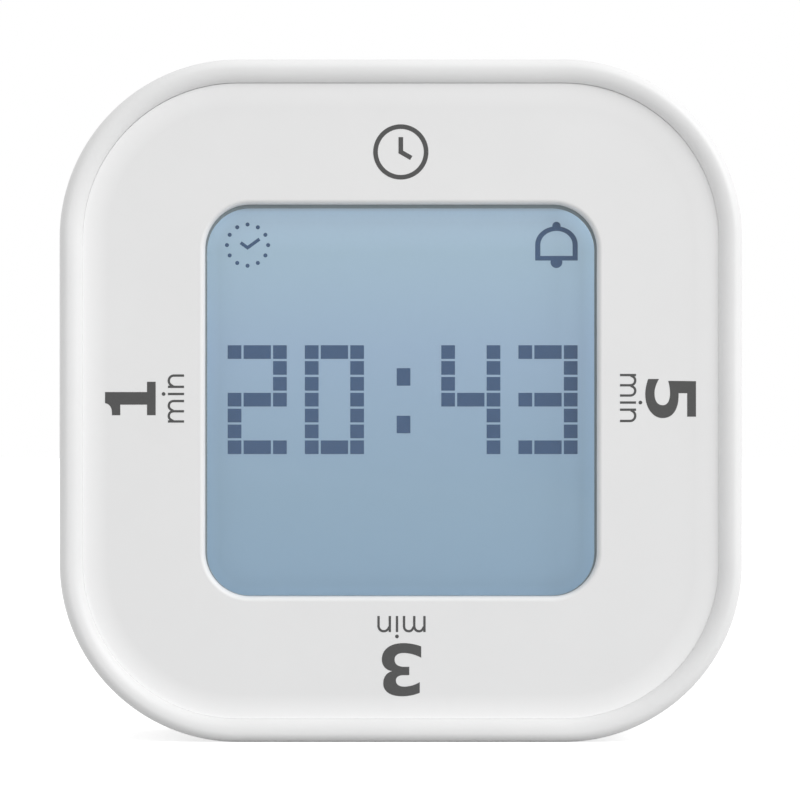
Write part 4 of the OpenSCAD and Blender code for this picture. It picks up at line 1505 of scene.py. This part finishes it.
@dataclass
class Display(Assembly):
    """Display: dressed glass and film, digits of blocks, a dotted clock and a bell."""

    FINISHES: ClassVar[dict[str, str]] = {
        "film": "front_polariser",
        "glass": "display_glass",
        "reflector": "rear_reflector",
        "light_guide": "light_guide",
        "lamp": "backlight_led",
        "display_frame": "display_frame",
    }
    # The lit columns, left, middle and right, of each digit's rows
    LIT: ClassVar[dict[str, tuple[str, ...]]] = {
        "0": ("LMR", "LR", "LR", "LR", "LR", "LR", "LMR"),
        "2": ("LMR", "R", "R", "LMR", "L", "L", "LMR"),
        "3": ("LMR", "R", "R", "LMR", "R", "R", "LMR"),
        "4": ("LR", "LR", "LR", "LMR", "R", "R", "R"),
    }

    panel: FacePanel
    film_front: float = 3.5
    painted_shadow_from: float = 17.2
    painted_shadow_to: float = 17.6
    dye_thick: float = 0.02
    side_col: float = 1.25
    middle_col: float = 2.49
    gap: float = 0.2
    row_pitch: float = 1.447
    row_h: float = 1.247
    top: float = 5.06
    digits: str = "2043"
    digit_lefts: Sequence[float] = (-15.79, -8.75, 3.69, 10.73)
    colon_x: float = 0.25
    colon_w: float = 1.25
    colon_h: float = 1.595
    colon_up: float = 2.17
    clock_at: Plan = (-13.98, 14.19)
    clock_r: float = 1.88
    dot_count: int = 12
    dot_r: float = 0.185
    dot_steps: int = 24
    hands: Outline = ((-0.63, 0.22), (0, -0.24), (1.09, 0.55))
    hand_w: float = 0.3
    bell_x: float = 14.195
    bell_spring: float = 14.22
    bell_out: Triple = (1.94, 1.683, 12.785)
    bell_in: Triple = (1.47, 1.265, 13.205)
    bell_discs: Outline = ((15.94, 0.38), (12.64, 0.54))
    bell_step: int = 6
    disc_proud: float = 0.001

    def film(self) -> Material:
        """Mixes the film: deep at its foot, paler above, with a painted shadow of the window's top edge
        across its top.

        Returns:
            The material.
        """
        low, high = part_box("front_polariser")
        height = (high.z - low.z) / MM
        stops = (
            (0, screen(118, 144, 165)),
            (0.26, screen(122, 147, 166)),
            (0.62, screen(134, 156, 177)),
            (0.86, screen(143, 166, 182)),
            # These two stops paint the shadow that the window's top wall casts on the film.
            (0.5 + self.painted_shadow_from / height, screen(160, 182, 200)),
            (0.5 + self.painted_shadow_to / height, screen(140, 156, 169)),
        )
        window = (self.panel.window, self.panel.window_r)
        return DisplayFilm("display_film", stops, low.z, high.z, high.x, *window).material()

    def blocks(self) -> list[tuple[float, float, float, float]]:
        """Lists every lit block.

        Returns:
            Middle, width and height of each block in millimetres.
        """
        step = (self.side_col + self.middle_col) / 2 + self.gap
        columns = {"L": (-step, self.side_col), "M": (0, self.middle_col), "R": (step, self.side_col)}
        found = []
        for left, digit in zip(self.digit_lefts, self.digits):
            middle = left + self.side_col + self.gap + self.middle_col / 2
            for row, lit in enumerate(self.LIT[digit]):
                y = self.top - self.row_h / 2 - row * self.row_pitch
                found += [(middle + columns[key][0], y, columns[key][1], self.row_h) for key in lit]
        return found + [(self.colon_x, sign * self.colon_up, self.colon_w, self.colon_h) for sign in (1, -1)]

    def grow_blocks(self, depth: float) -> Mesh:
        """Sets one thin block on each lit place.

        Args:
            depth: Depth of the blocks' middles.

        Returns:
            All blocks as one mesh.
        """
        blocks = self.blocks()
        points = cloud("lit_places", [self.face.at(x, y, depth) for x, y, _, _ in blocks])
        sizes = points.attributes.new("block_size", "FLOAT_VECTOR", "POINT")
        for place, (_, _, width, height) in zip(sizes.data, blocks):
            place.vector = (width * MM, 1, height * MM)
        growth = Growth("digit_blocks")
        start, thick = growth.inputs(Places=None, Thickness=self.dye_thick * MM)
        kind = {"data_type": "FLOAT_VECTOR"}
        size = growth.add("GeometryNodeInputNamedAttribute", "block_size", settings=kind)
        block = growth.add("GeometryNodeMeshCube", growth.add("ShaderNodeCombineXYZ", 1, thick, 1))
        copies = growth.add("GeometryNodeInstanceOnPoints", start, Instance=block, Scale=size)
        return growth.bake(copies, self.palette["segment"], points)

    def grow_dots(self) -> Mesh:
        """Sets the dots on the small clock's ring.

        Returns:
            The dots as one mesh, drawn flat about the clock's middle.
        """
        growth = Growth("clock_dots")
        count, ring_r, dot_r, thick = growth.inputs(
            Count=self.dot_count, Ring_Radius=self.clock_r * MM, Dot_Radius=self.dot_r * MM,
            Thickness=self.dye_thick * MM)
        ring = growth.add("GeometryNodeMeshCircle", count, ring_r)
        dot = growth.add("GeometryNodeMeshCylinder", Vertices=self.dot_steps, Radius=dot_r, Depth=thick)
        copies = growth.add("GeometryNodeInstanceOnPoints", ring, Instance=dot)
        return growth.bake(copies, self.palette["segment"])

    def bell(self, half: float, rise: float, foot: float) -> list[Plan]:
        """Draws one outline of the bell: an arch on straight sides.

        Args:
            half: Half its width.
            rise: Height of its arch.
            foot: Height of its foot on the face.

        Returns:
            The outline.
        """
        angles = map(math.radians, range(0, 181, self.bell_step))
        arch = [(self.bell_x + half * math.cos(a), self.bell_spring + rise * math.sin(a)) for a in angles]
        return arch + [(self.bell_x - half, foot), (self.bell_x + half, foot)]

    def build(self) -> None:
        """Dresses the display's nodes and draws what it shows."""
        self.palette["film"] = self.film()
        for key, node in self.FINISHES.items():
            self.dress(key, node)
        finish = self.palette["segment"]
        front = self.film_front - self.dye_thick
        middle = self.film_front - self.dye_thick / 2
        settle(make_piece("display_digits", self.grow_blocks(middle), finish))
        dots = self.grow_dots()
        dots.transform(self.face.stand(*self.clock_at, middle))
        settle(make_piece("display_clock_dots", dots, finish))
        bm = bmesh.new()
        hands = [(self.clock_at[0] + x, self.clock_at[1] + y) for x, y in self.hands]
        slab(bm, self.face, ribbon(hands, self.hand_w), front, self.film_front)
        hoop(bm, self.face, self.bell(*self.bell_out), self.bell(*self.bell_in), front, self.film_front)
        for up, radius in self.bell_discs:
            slab(bm, self.face, disc(self.bell_x, up, radius), front - self.disc_proud, self.film_front)
        settle(make_piece("display_signs", bm, finish))


@dataclass
class BrokenEdges(Assembly):
    """Pieces that keep their CAD shape, with the edges broken as a mould or a press leaves them."""

    edge: float = 0.12
    merge: float = 0.0004
    flat_deg: float = 0.6
    bend_deg: float = 40

    def refit(self, node: str, name: str, body: str, slot: str) -> None:
        """Copies a CAD node with broken edges and lets the copy stand for it.

        Args:
            node: The CAD node.
            name: The new piece's name.
            body: The body it moves with.
            slot: The finish's name in the palette.
        """
        bm = bmesh.new()
        bm.from_mesh(frame["nodes"][node].data)
        bmesh.ops.remove_doubles(bm, verts=bm.verts[:], dist=self.merge * MM)
        flat = math.radians(self.flat_deg)
        bmesh.ops.dissolve_limit(bm, angle_limit=flat, verts=bm.verts[:], edges=bm.edges[:])
        piece = make_piece(name, to_mesh(name, bm, outwards=False), self.palette[slot], sharp=30)
        bevel = piece.modifiers.new("broken_edges", "BEVEL")
        bevel.width = self.edge * MM
        bevel.segments = 2
        bevel.limit_method = "ANGLE"
        bevel.angle_limit = math.radians(self.bend_deg)
        bevel.harden_normals = True
        bevel.use_clamp_overlap = True
        settle(piece, body, [node])


@dataclass
class RearShell(BrokenEdges):
    """Rear case with the battery door and its snap latch."""

    def build(self) -> None:
        """Builds the rear case, the door and the latch."""
        self.refit("rear_case", "rear_shell", BODY, "case")
        self.refit("battery_door", "door_plate", "door", "case")
        self.refit("door_latch", "door_snap", "door", "case")


@dataclass
class Controls(BrokenEdges):
    """Button caps, slide knob and what they press on."""

    edge: float = 0.1

    def build(self) -> None:
        """Builds the caps and the knob, and dresses switches and plungers."""
        for key in ("set", "plus", "minus"):
            self.refit(f"{key}_button", f"{key}_cap", f"{key}_key", "button")
            self.dress("black_plastic", f"{key}_plunger")
        self.refit("volume_knob", "slide_knob", "volume_slider", "knob")
        self.dress("black_plastic", "slide_lever", "push_switches")
        self.dress("nickel", "slide_switch")


@dataclass
class Cells(Assembly):
    """Two cells lying across, button ends opposite: a steel can and a printed sleeve each.

    A profile's pairs are a distance in from the can, the button or the sleeve, and a travel
    from the nearest end of it.
    """

    button_r: float = 1.9
    button_h: float = 0.9
    foil: float = 0.1
    foil_fit: float = 0.01
    flat_end: Outline = ((1.0, 0), (0.75, 0.1), (0.25, 0.12), (0, 0.4))
    crimp: Outline = ((0, 0.9), (0.12, 0.5), (0.5, 0.25), (1.0, 0.2), (1.1, 0))
    button_foot: Outline = ((-0.2, 0), (0, 0.15))
    button_crown: Outline = ((0, 0.25), (0.08, 0.08), (0.25, 0))
    sleeve_from: float = 0.5
    sleeve_top: float = 0.7
    sleeve_foot: Outline = ((0.03, 0), (0, 0.05))
    sleeve_head: Outline = ((0, 0.35), (0.1, 0.08), (0.3, -0.05))
    sleeve_tuck: float = 0.35
    steps: int = 72

    def can_section(self, radius: float, length: float) -> list[Plan]:
        """Draws half of the can along its axis, from its flat end to its button.

        Args:
            radius: The sleeve's outer radius.
            length: The whole length.

        Returns:
            Radius and travel.
        """
        steel = radius - self.foil
        top = length - self.button_h
        points = [(0, 0)]
        points += [(steel - inset, travel) for inset, travel in self.flat_end]
        points += [(steel - inset, top - below) for inset, below in self.crimp]
        points += [(self.button_r - inset, top + above) for inset, above in self.button_foot]
        points += [(self.button_r - inset, length - below) for inset, below in self.button_crown]
        return points + [(0, length)]

    def sleeve_section(self, radius: float, length: float) -> list[Plan]:
        """Draws the sleeve's closed section.

        Args:
            radius: Its outer radius.
            length: The cell's whole length.

        Returns:
            Radius and travel.
        """
        inner = radius - self.foil + self.foil_fit
        end = length - self.button_h - self.sleeve_top
        points = [(inner, self.sleeve_from)]
        points += [(radius - inset, self.sleeve_from + above) for inset, above in self.sleeve_foot]
        points += [(radius - inset, end - below) for inset, below in self.sleeve_head]
        return points + [(inner - self.sleeve_tuck, end)]

    def build(self) -> None:
        """Builds both cells in the places of their nodes."""
        for node, way in (("upper_cell", 1), ("lower_cell", -1)):
            low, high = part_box(node)
            radius = (high.z - low.z) / 2 / MM
            length = (high.x - low.x) / MM
            flat_x = low.x if way > 0 else high.x
            middle = (low + high) / 2

            def place(across: float, up: float, travel: float) -> Vector:
                """Gives the place of a point of this cell."""
                return Vector((flat_x + way * travel * MM, middle.y + across * MM, middle.z + up * MM))

            def share(spot: Vector) -> float:
                """Gives how far along this cell a place is."""
                return abs(spot.x - flat_x) / (length * MM)

            bm = bmesh.new()
            lathe(bm, self.can_section(radius, length), place, self.steps)
            settle(make_piece(f"{node}_can", bm, self.palette["can"], sharp=30), BODY, [node])
            rings = []
            for ring_r, travel in self.sleeve_section(radius, length):
                rings.append([place(x, y, travel) for x, y in disc(0, 0, ring_r, self.steps)])
            bm = bmesh.new()
            loft(bm, rings, cycle=True)
            sleeve = make_piece(f"{node}_sleeve", bm, self.palette["sleeve"], sharp=40)
            store_share(sleeve, "along", share)
            settle(sleeve)


@dataclass
class Springs(Assembly):
    """Conical contact springs, wide at the plate and narrow at the cell."""

    turns: float = 5.0
    wire_r: float = 0.3
    wide_r: float = 3.3
    narrow_r: float = 2.3
    coil_steps: int = 40
    wire_steps: int = 14

    def grow(self, length: float) -> Mesh:
        """Winds one spring upwards from its wide end.

        Args:
            length: Its length in millimetres.

        Returns:
            The spring, standing on the origin.
        """
        growth = Growth("contact_spring")
        *shape, wire = growth.inputs(
            Turns=self.turns, Wide_Radius=self.wide_r * MM, Narrow_Radius=self.narrow_r * MM,
            Height=(length - 2 * self.wire_r) * MM, Wire_Radius=self.wire_r * MM)
        coil = growth.add("GeometryNodeCurveSpiral", self.coil_steps, *shape)
        section = growth.add("GeometryNodeCurvePrimitiveCircle", Resolution=self.wire_steps, Radius=wire)
        swept = growth.add("GeometryNodeCurveToMesh", coil, section, Fill_Caps=True)
        return growth.bake(swept, self.palette["nickel"])

    def build(self) -> None:
        """Builds both springs in the places of their nodes."""
        for node, way in (("bridge_spring", 1), ("negative_spring", -1)):
            low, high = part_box(node)
            foot = (low + high) / 2
            foot.x = (low.x if way > 0 else high.x) + way * self.wire_r * MM
            mesh = self.grow((high.x - low.x) / MM)
            mesh.transform(Matrix.Translation(foot) @ Matrix.Rotation(way * math.pi / 2, 4, "Y"))
            piece = make_piece(f"{node}_coil", mesh, self.palette["nickel"], sharp=50)
            settle(piece, BODY, [node])


@dataclass
class CaseScrews(Assembly):
    """Four pan-head screws with crossed recesses, deep in their bores."""

    shell: FrontShell
    head_r: float = 1.9
    head_h: float = 1.4
    crown_flat: float = 0.55
    crown_h: float = 0.72
    crown_steps: int = 6
    neck_r: float = 0.95
    root_r: float = 0.72
    pitch: float = 0.6
    threads: int = 12
    thread_end: float = 1
    point_h: float = 0.9
    slot_l: float = 2.3
    slot_w: float = 0.5
    slot_h: float = 0.75
    steps: int = 36

    def section(self, length: float) -> list[Plan]:
        """Draws half a screw, from the crown of its head at 0 to its point.

        Args:
            length: The whole length.

        Returns:
            Radius and depth, which is negative, since the crown looks back.
        """
        points = [(0, 0), (self.head_r * self.crown_flat, 0)]
        for step in range(1, self.crown_steps + 1):
            angle = math.pi / 2 * step / self.crown_steps
            reach = self.head_r * (self.crown_flat + (1 - self.crown_flat) * math.sin(angle))
            points.append((reach, self.head_h * self.crown_h * (1 - math.cos(angle))))
        points += [(self.head_r, self.head_h), (self.neck_r, self.head_h)]
        start = length - self.thread_end - self.threads * self.pitch
        for turn in range(self.threads):
            foot = start + turn * self.pitch
            points += [(self.root_r, foot), (self.neck_r, foot + self.pitch / 2)]
        points += [(self.root_r, length - self.point_h), (0, length)]
        return [(radius, -travel) for radius, travel in points]

    def screw(self, length: float) -> Mesh:
        """Turns one screw and cuts its recess.

        Args:
            length: The whole length.

        Returns:
            The screw, its crown on the origin.
        """
        bm = bmesh.new()
        for width, height in ((self.slot_l, self.slot_w), (self.slot_w, self.slot_l)):
            bar = bmesh.ops.create_cube(bm, size=1)["verts"]
            bmesh.ops.scale(bm, vec=Vector((width, 2 * self.slot_h, height)) * MM, verts=bar)
        cutter = put("recess", to_mesh("recess", bm))
        holder = put("case_screw", turned("case_screw", self.section(length), self.steps))
        cut = holder.modifiers.new("recess", "BOOLEAN")
        cut.object = cutter
        cut.operation = "DIFFERENCE"
        cut.use_self = True
        mesh = evaluated(holder)
        for thing in (holder, cutter):
            bpy.data.objects.remove(thing)
        return mesh

    def build(self) -> None:
        """Sets one screw in each corner's bore."""
        low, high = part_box("case_screws")
        crown = (high.y - self.face.crest_y) / MM
        x, y = self.shell.boss_at
        places = [self.face.at(sx * x, sy * y, crown) for sx, sy in CORNERS]
        finish = self.palette["nickel"]
        mesh = spread("case_screw_set", self.screw((high.y - low.y) / MM), places, finish)
        settle(make_piece("case_screw_set", mesh, finish, sharp=30), BODY, ["case_screws"])


@dataclass
class Electronics(Assembly):
    """Boards, tilt switches, buzzer, leads and screws."""

    FINISHES: ClassVar[dict[str, Sequence[str]]] = {
        "elastomer": ("upper_contact_strip", "lower_contact_strip"),
        "board": ("main_board", "key_board"),
        "resin": ("controller_cap",),
        "chips": ("chip_parts",),
        "brass": ("left_tilt_can", "right_tilt_can", "buzzer_disc"),
        "black_plastic": ("left_tilt_base", "right_tilt_base"),
        "nickel": ("clock_crystal", "left_tilt_ball", "right_tilt_ball", "board_screws", "key_board_screws",
                   "bridge_contact", "positive_contact", "negative_contact"),
        "ceramic": ("buzzer_ceramic",),
        "ribbon": ("ribbon_cable",),
        "red_lead": ("positive_lead", "buzzer_leads"),
        "black_lead": ("negative_lead",),
    }

    def build(self) -> None:
        """Dresses every inner node."""
        for finish, nodes in self.FINISHES.items():
            self.dress(finish, *nodes)


@dataclass
class Studio:
    """White room: floor, soft light and a level camera straight in front."""

    face: Face
    distance: float = 0.62
    view_w: float = 72.68
    aim: Triple = (-0.075, 0.064, 1.05)
    sensor: float = 36
    near: float = 0.01
    ambient: float = 0.86
    key_power: float = 21.3
    key_size: float = 1.5
    key_distance: float = 2
    key_way: Triple = (0.724, -0.51, 0.47)
    floor_half: float = 3
    floor_grey: float = 0.55
    floor_glow: float = 0.75

    def seen(self, nodes: Nodes) -> Node:
        """Gives 1 for rays that show the background: from the camera, a mirror or through glass.

        Args:
            nodes: The node tree of the world or of a material.

        Returns:
            The share of background.
        """
        path = nodes.add("ShaderNodeLightPath").outputs
        shown = nodes.math("MAXIMUM", path["Is Camera Ray"], path["Is Glossy Ray"])
        return nodes.math("MAXIMUM", shown, path["Is Transmission Ray"])

    def camera(self) -> None:
        """Sets the camera level in front of the face."""
        data = bpy.data.cameras.new("portrait")
        data.sensor_width = self.sensor
        data.lens = self.sensor * self.distance / (self.view_w * MM)
        data.clip_start = self.near
        camera = put("portrait", data)
        camera.location = self.face.at(*self.aim) - Vector((0, self.distance, 0))
        camera.rotation_euler = (math.pi / 2, 0, 0)
        bpy.context.scene.camera = camera

    def world(self) -> None:
        """Makes a world that is white to look at and a soft light otherwise."""
        world = bpy.data.worlds.new("white_room")
        world.use_nodes = True
        nodes = Nodes(world.node_tree)
        soft = world.node_tree.nodes["Background"]
        nodes.feed(soft, "Color", opaque(WHITE))
        nodes.feed(soft, "Strength", self.ambient)
        white = nodes.add("ShaderNodeBackground", Color=opaque(WHITE), Strength=1)
        mixed = nodes.add("ShaderNodeMixShader", self.seen(nodes), soft, white)
        nodes.feed(world.node_tree.nodes["World Output"], "Surface", mixed)
        bpy.context.scene.world = world

    def floor(self) -> None:
        """Lays a pale floor that keeps the shadow and lifts the rest to white."""
        shader = Shader("floor_paper")
        matte = shader.add("ShaderNodeBsdfDiffuse", Color=opaque((self.floor_grey,) * 3))
        lift = shader.span(self.seen(shader), (0, 1), (0, self.floor_glow))
        glow = shader.add("ShaderNodeEmission", Color=opaque(WHITE), Strength=lift)
        shader.replace_skin(shader.add("ShaderNodeAddShader", matte, glow))
        bm = bmesh.new()
        bmesh.ops.create_grid(bm, x_segments=1, y_segments=1, size=self.floor_half)
        make_piece("floor", bm, shader.material)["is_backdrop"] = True

    def lamp(self) -> None:
        """Hangs one large soft lamp at the top right in front."""
        data = bpy.data.lights.new("key", "AREA")
        data.energy = self.key_power
        data.size = self.key_size
        lamp = put("key", data)
        way = Vector(self.key_way).normalized()
        lamp.location = self.face.at(0, 0, 0) + way * self.key_distance
        lamp.rotation_euler = way.to_track_quat("Z", "Y").to_euler()

    def build(self) -> None:
        """Sets up camera, world, floor and lamp."""
        self.camera()
        self.world()
        self.floor()
        self.lamp()
        bpy.context.scene.view_settings.view_transform = "Standard"


def clear_start_objects() -> None:
    """Removes the cube, lamp and camera that a new file starts with."""
    kept = set(frame["nodes"].values()) | set(frame["bodies"].values())
    for thing in list(bpy.data.objects):
        if thing not in kept:
            bpy.data.objects.remove(thing)


def main() -> None:
    """Builds the sub-assemblies in order."""
    logging.basicConfig(level=logging.INFO, format="%(name)s %(message)s")
    clear_start_objects()
    cad_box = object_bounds()
    face = Face(cad_box[0].y, (cad_box[0].z + cad_box[1].z) / 2)
    palette = mix_palette()
    Studio(face).build()
    shell = FrontShell(face, palette)
    panel = FacePanel(face, palette, shell)
    assemblies = (
        shell,
        panel,
        PanelPrints(face, palette, panel),
        Window(face, palette, panel),
        Display(face, palette, panel),
        RearShell(face, palette),
        Controls(face, palette),
        Cells(face, palette),
        Springs(face, palette),
        CaseScrews(face, palette, shell),
        Electronics(face, palette),
    )
    for assembly in assemblies:
        assembly.build()


if __name__ == "__main__":
    main()
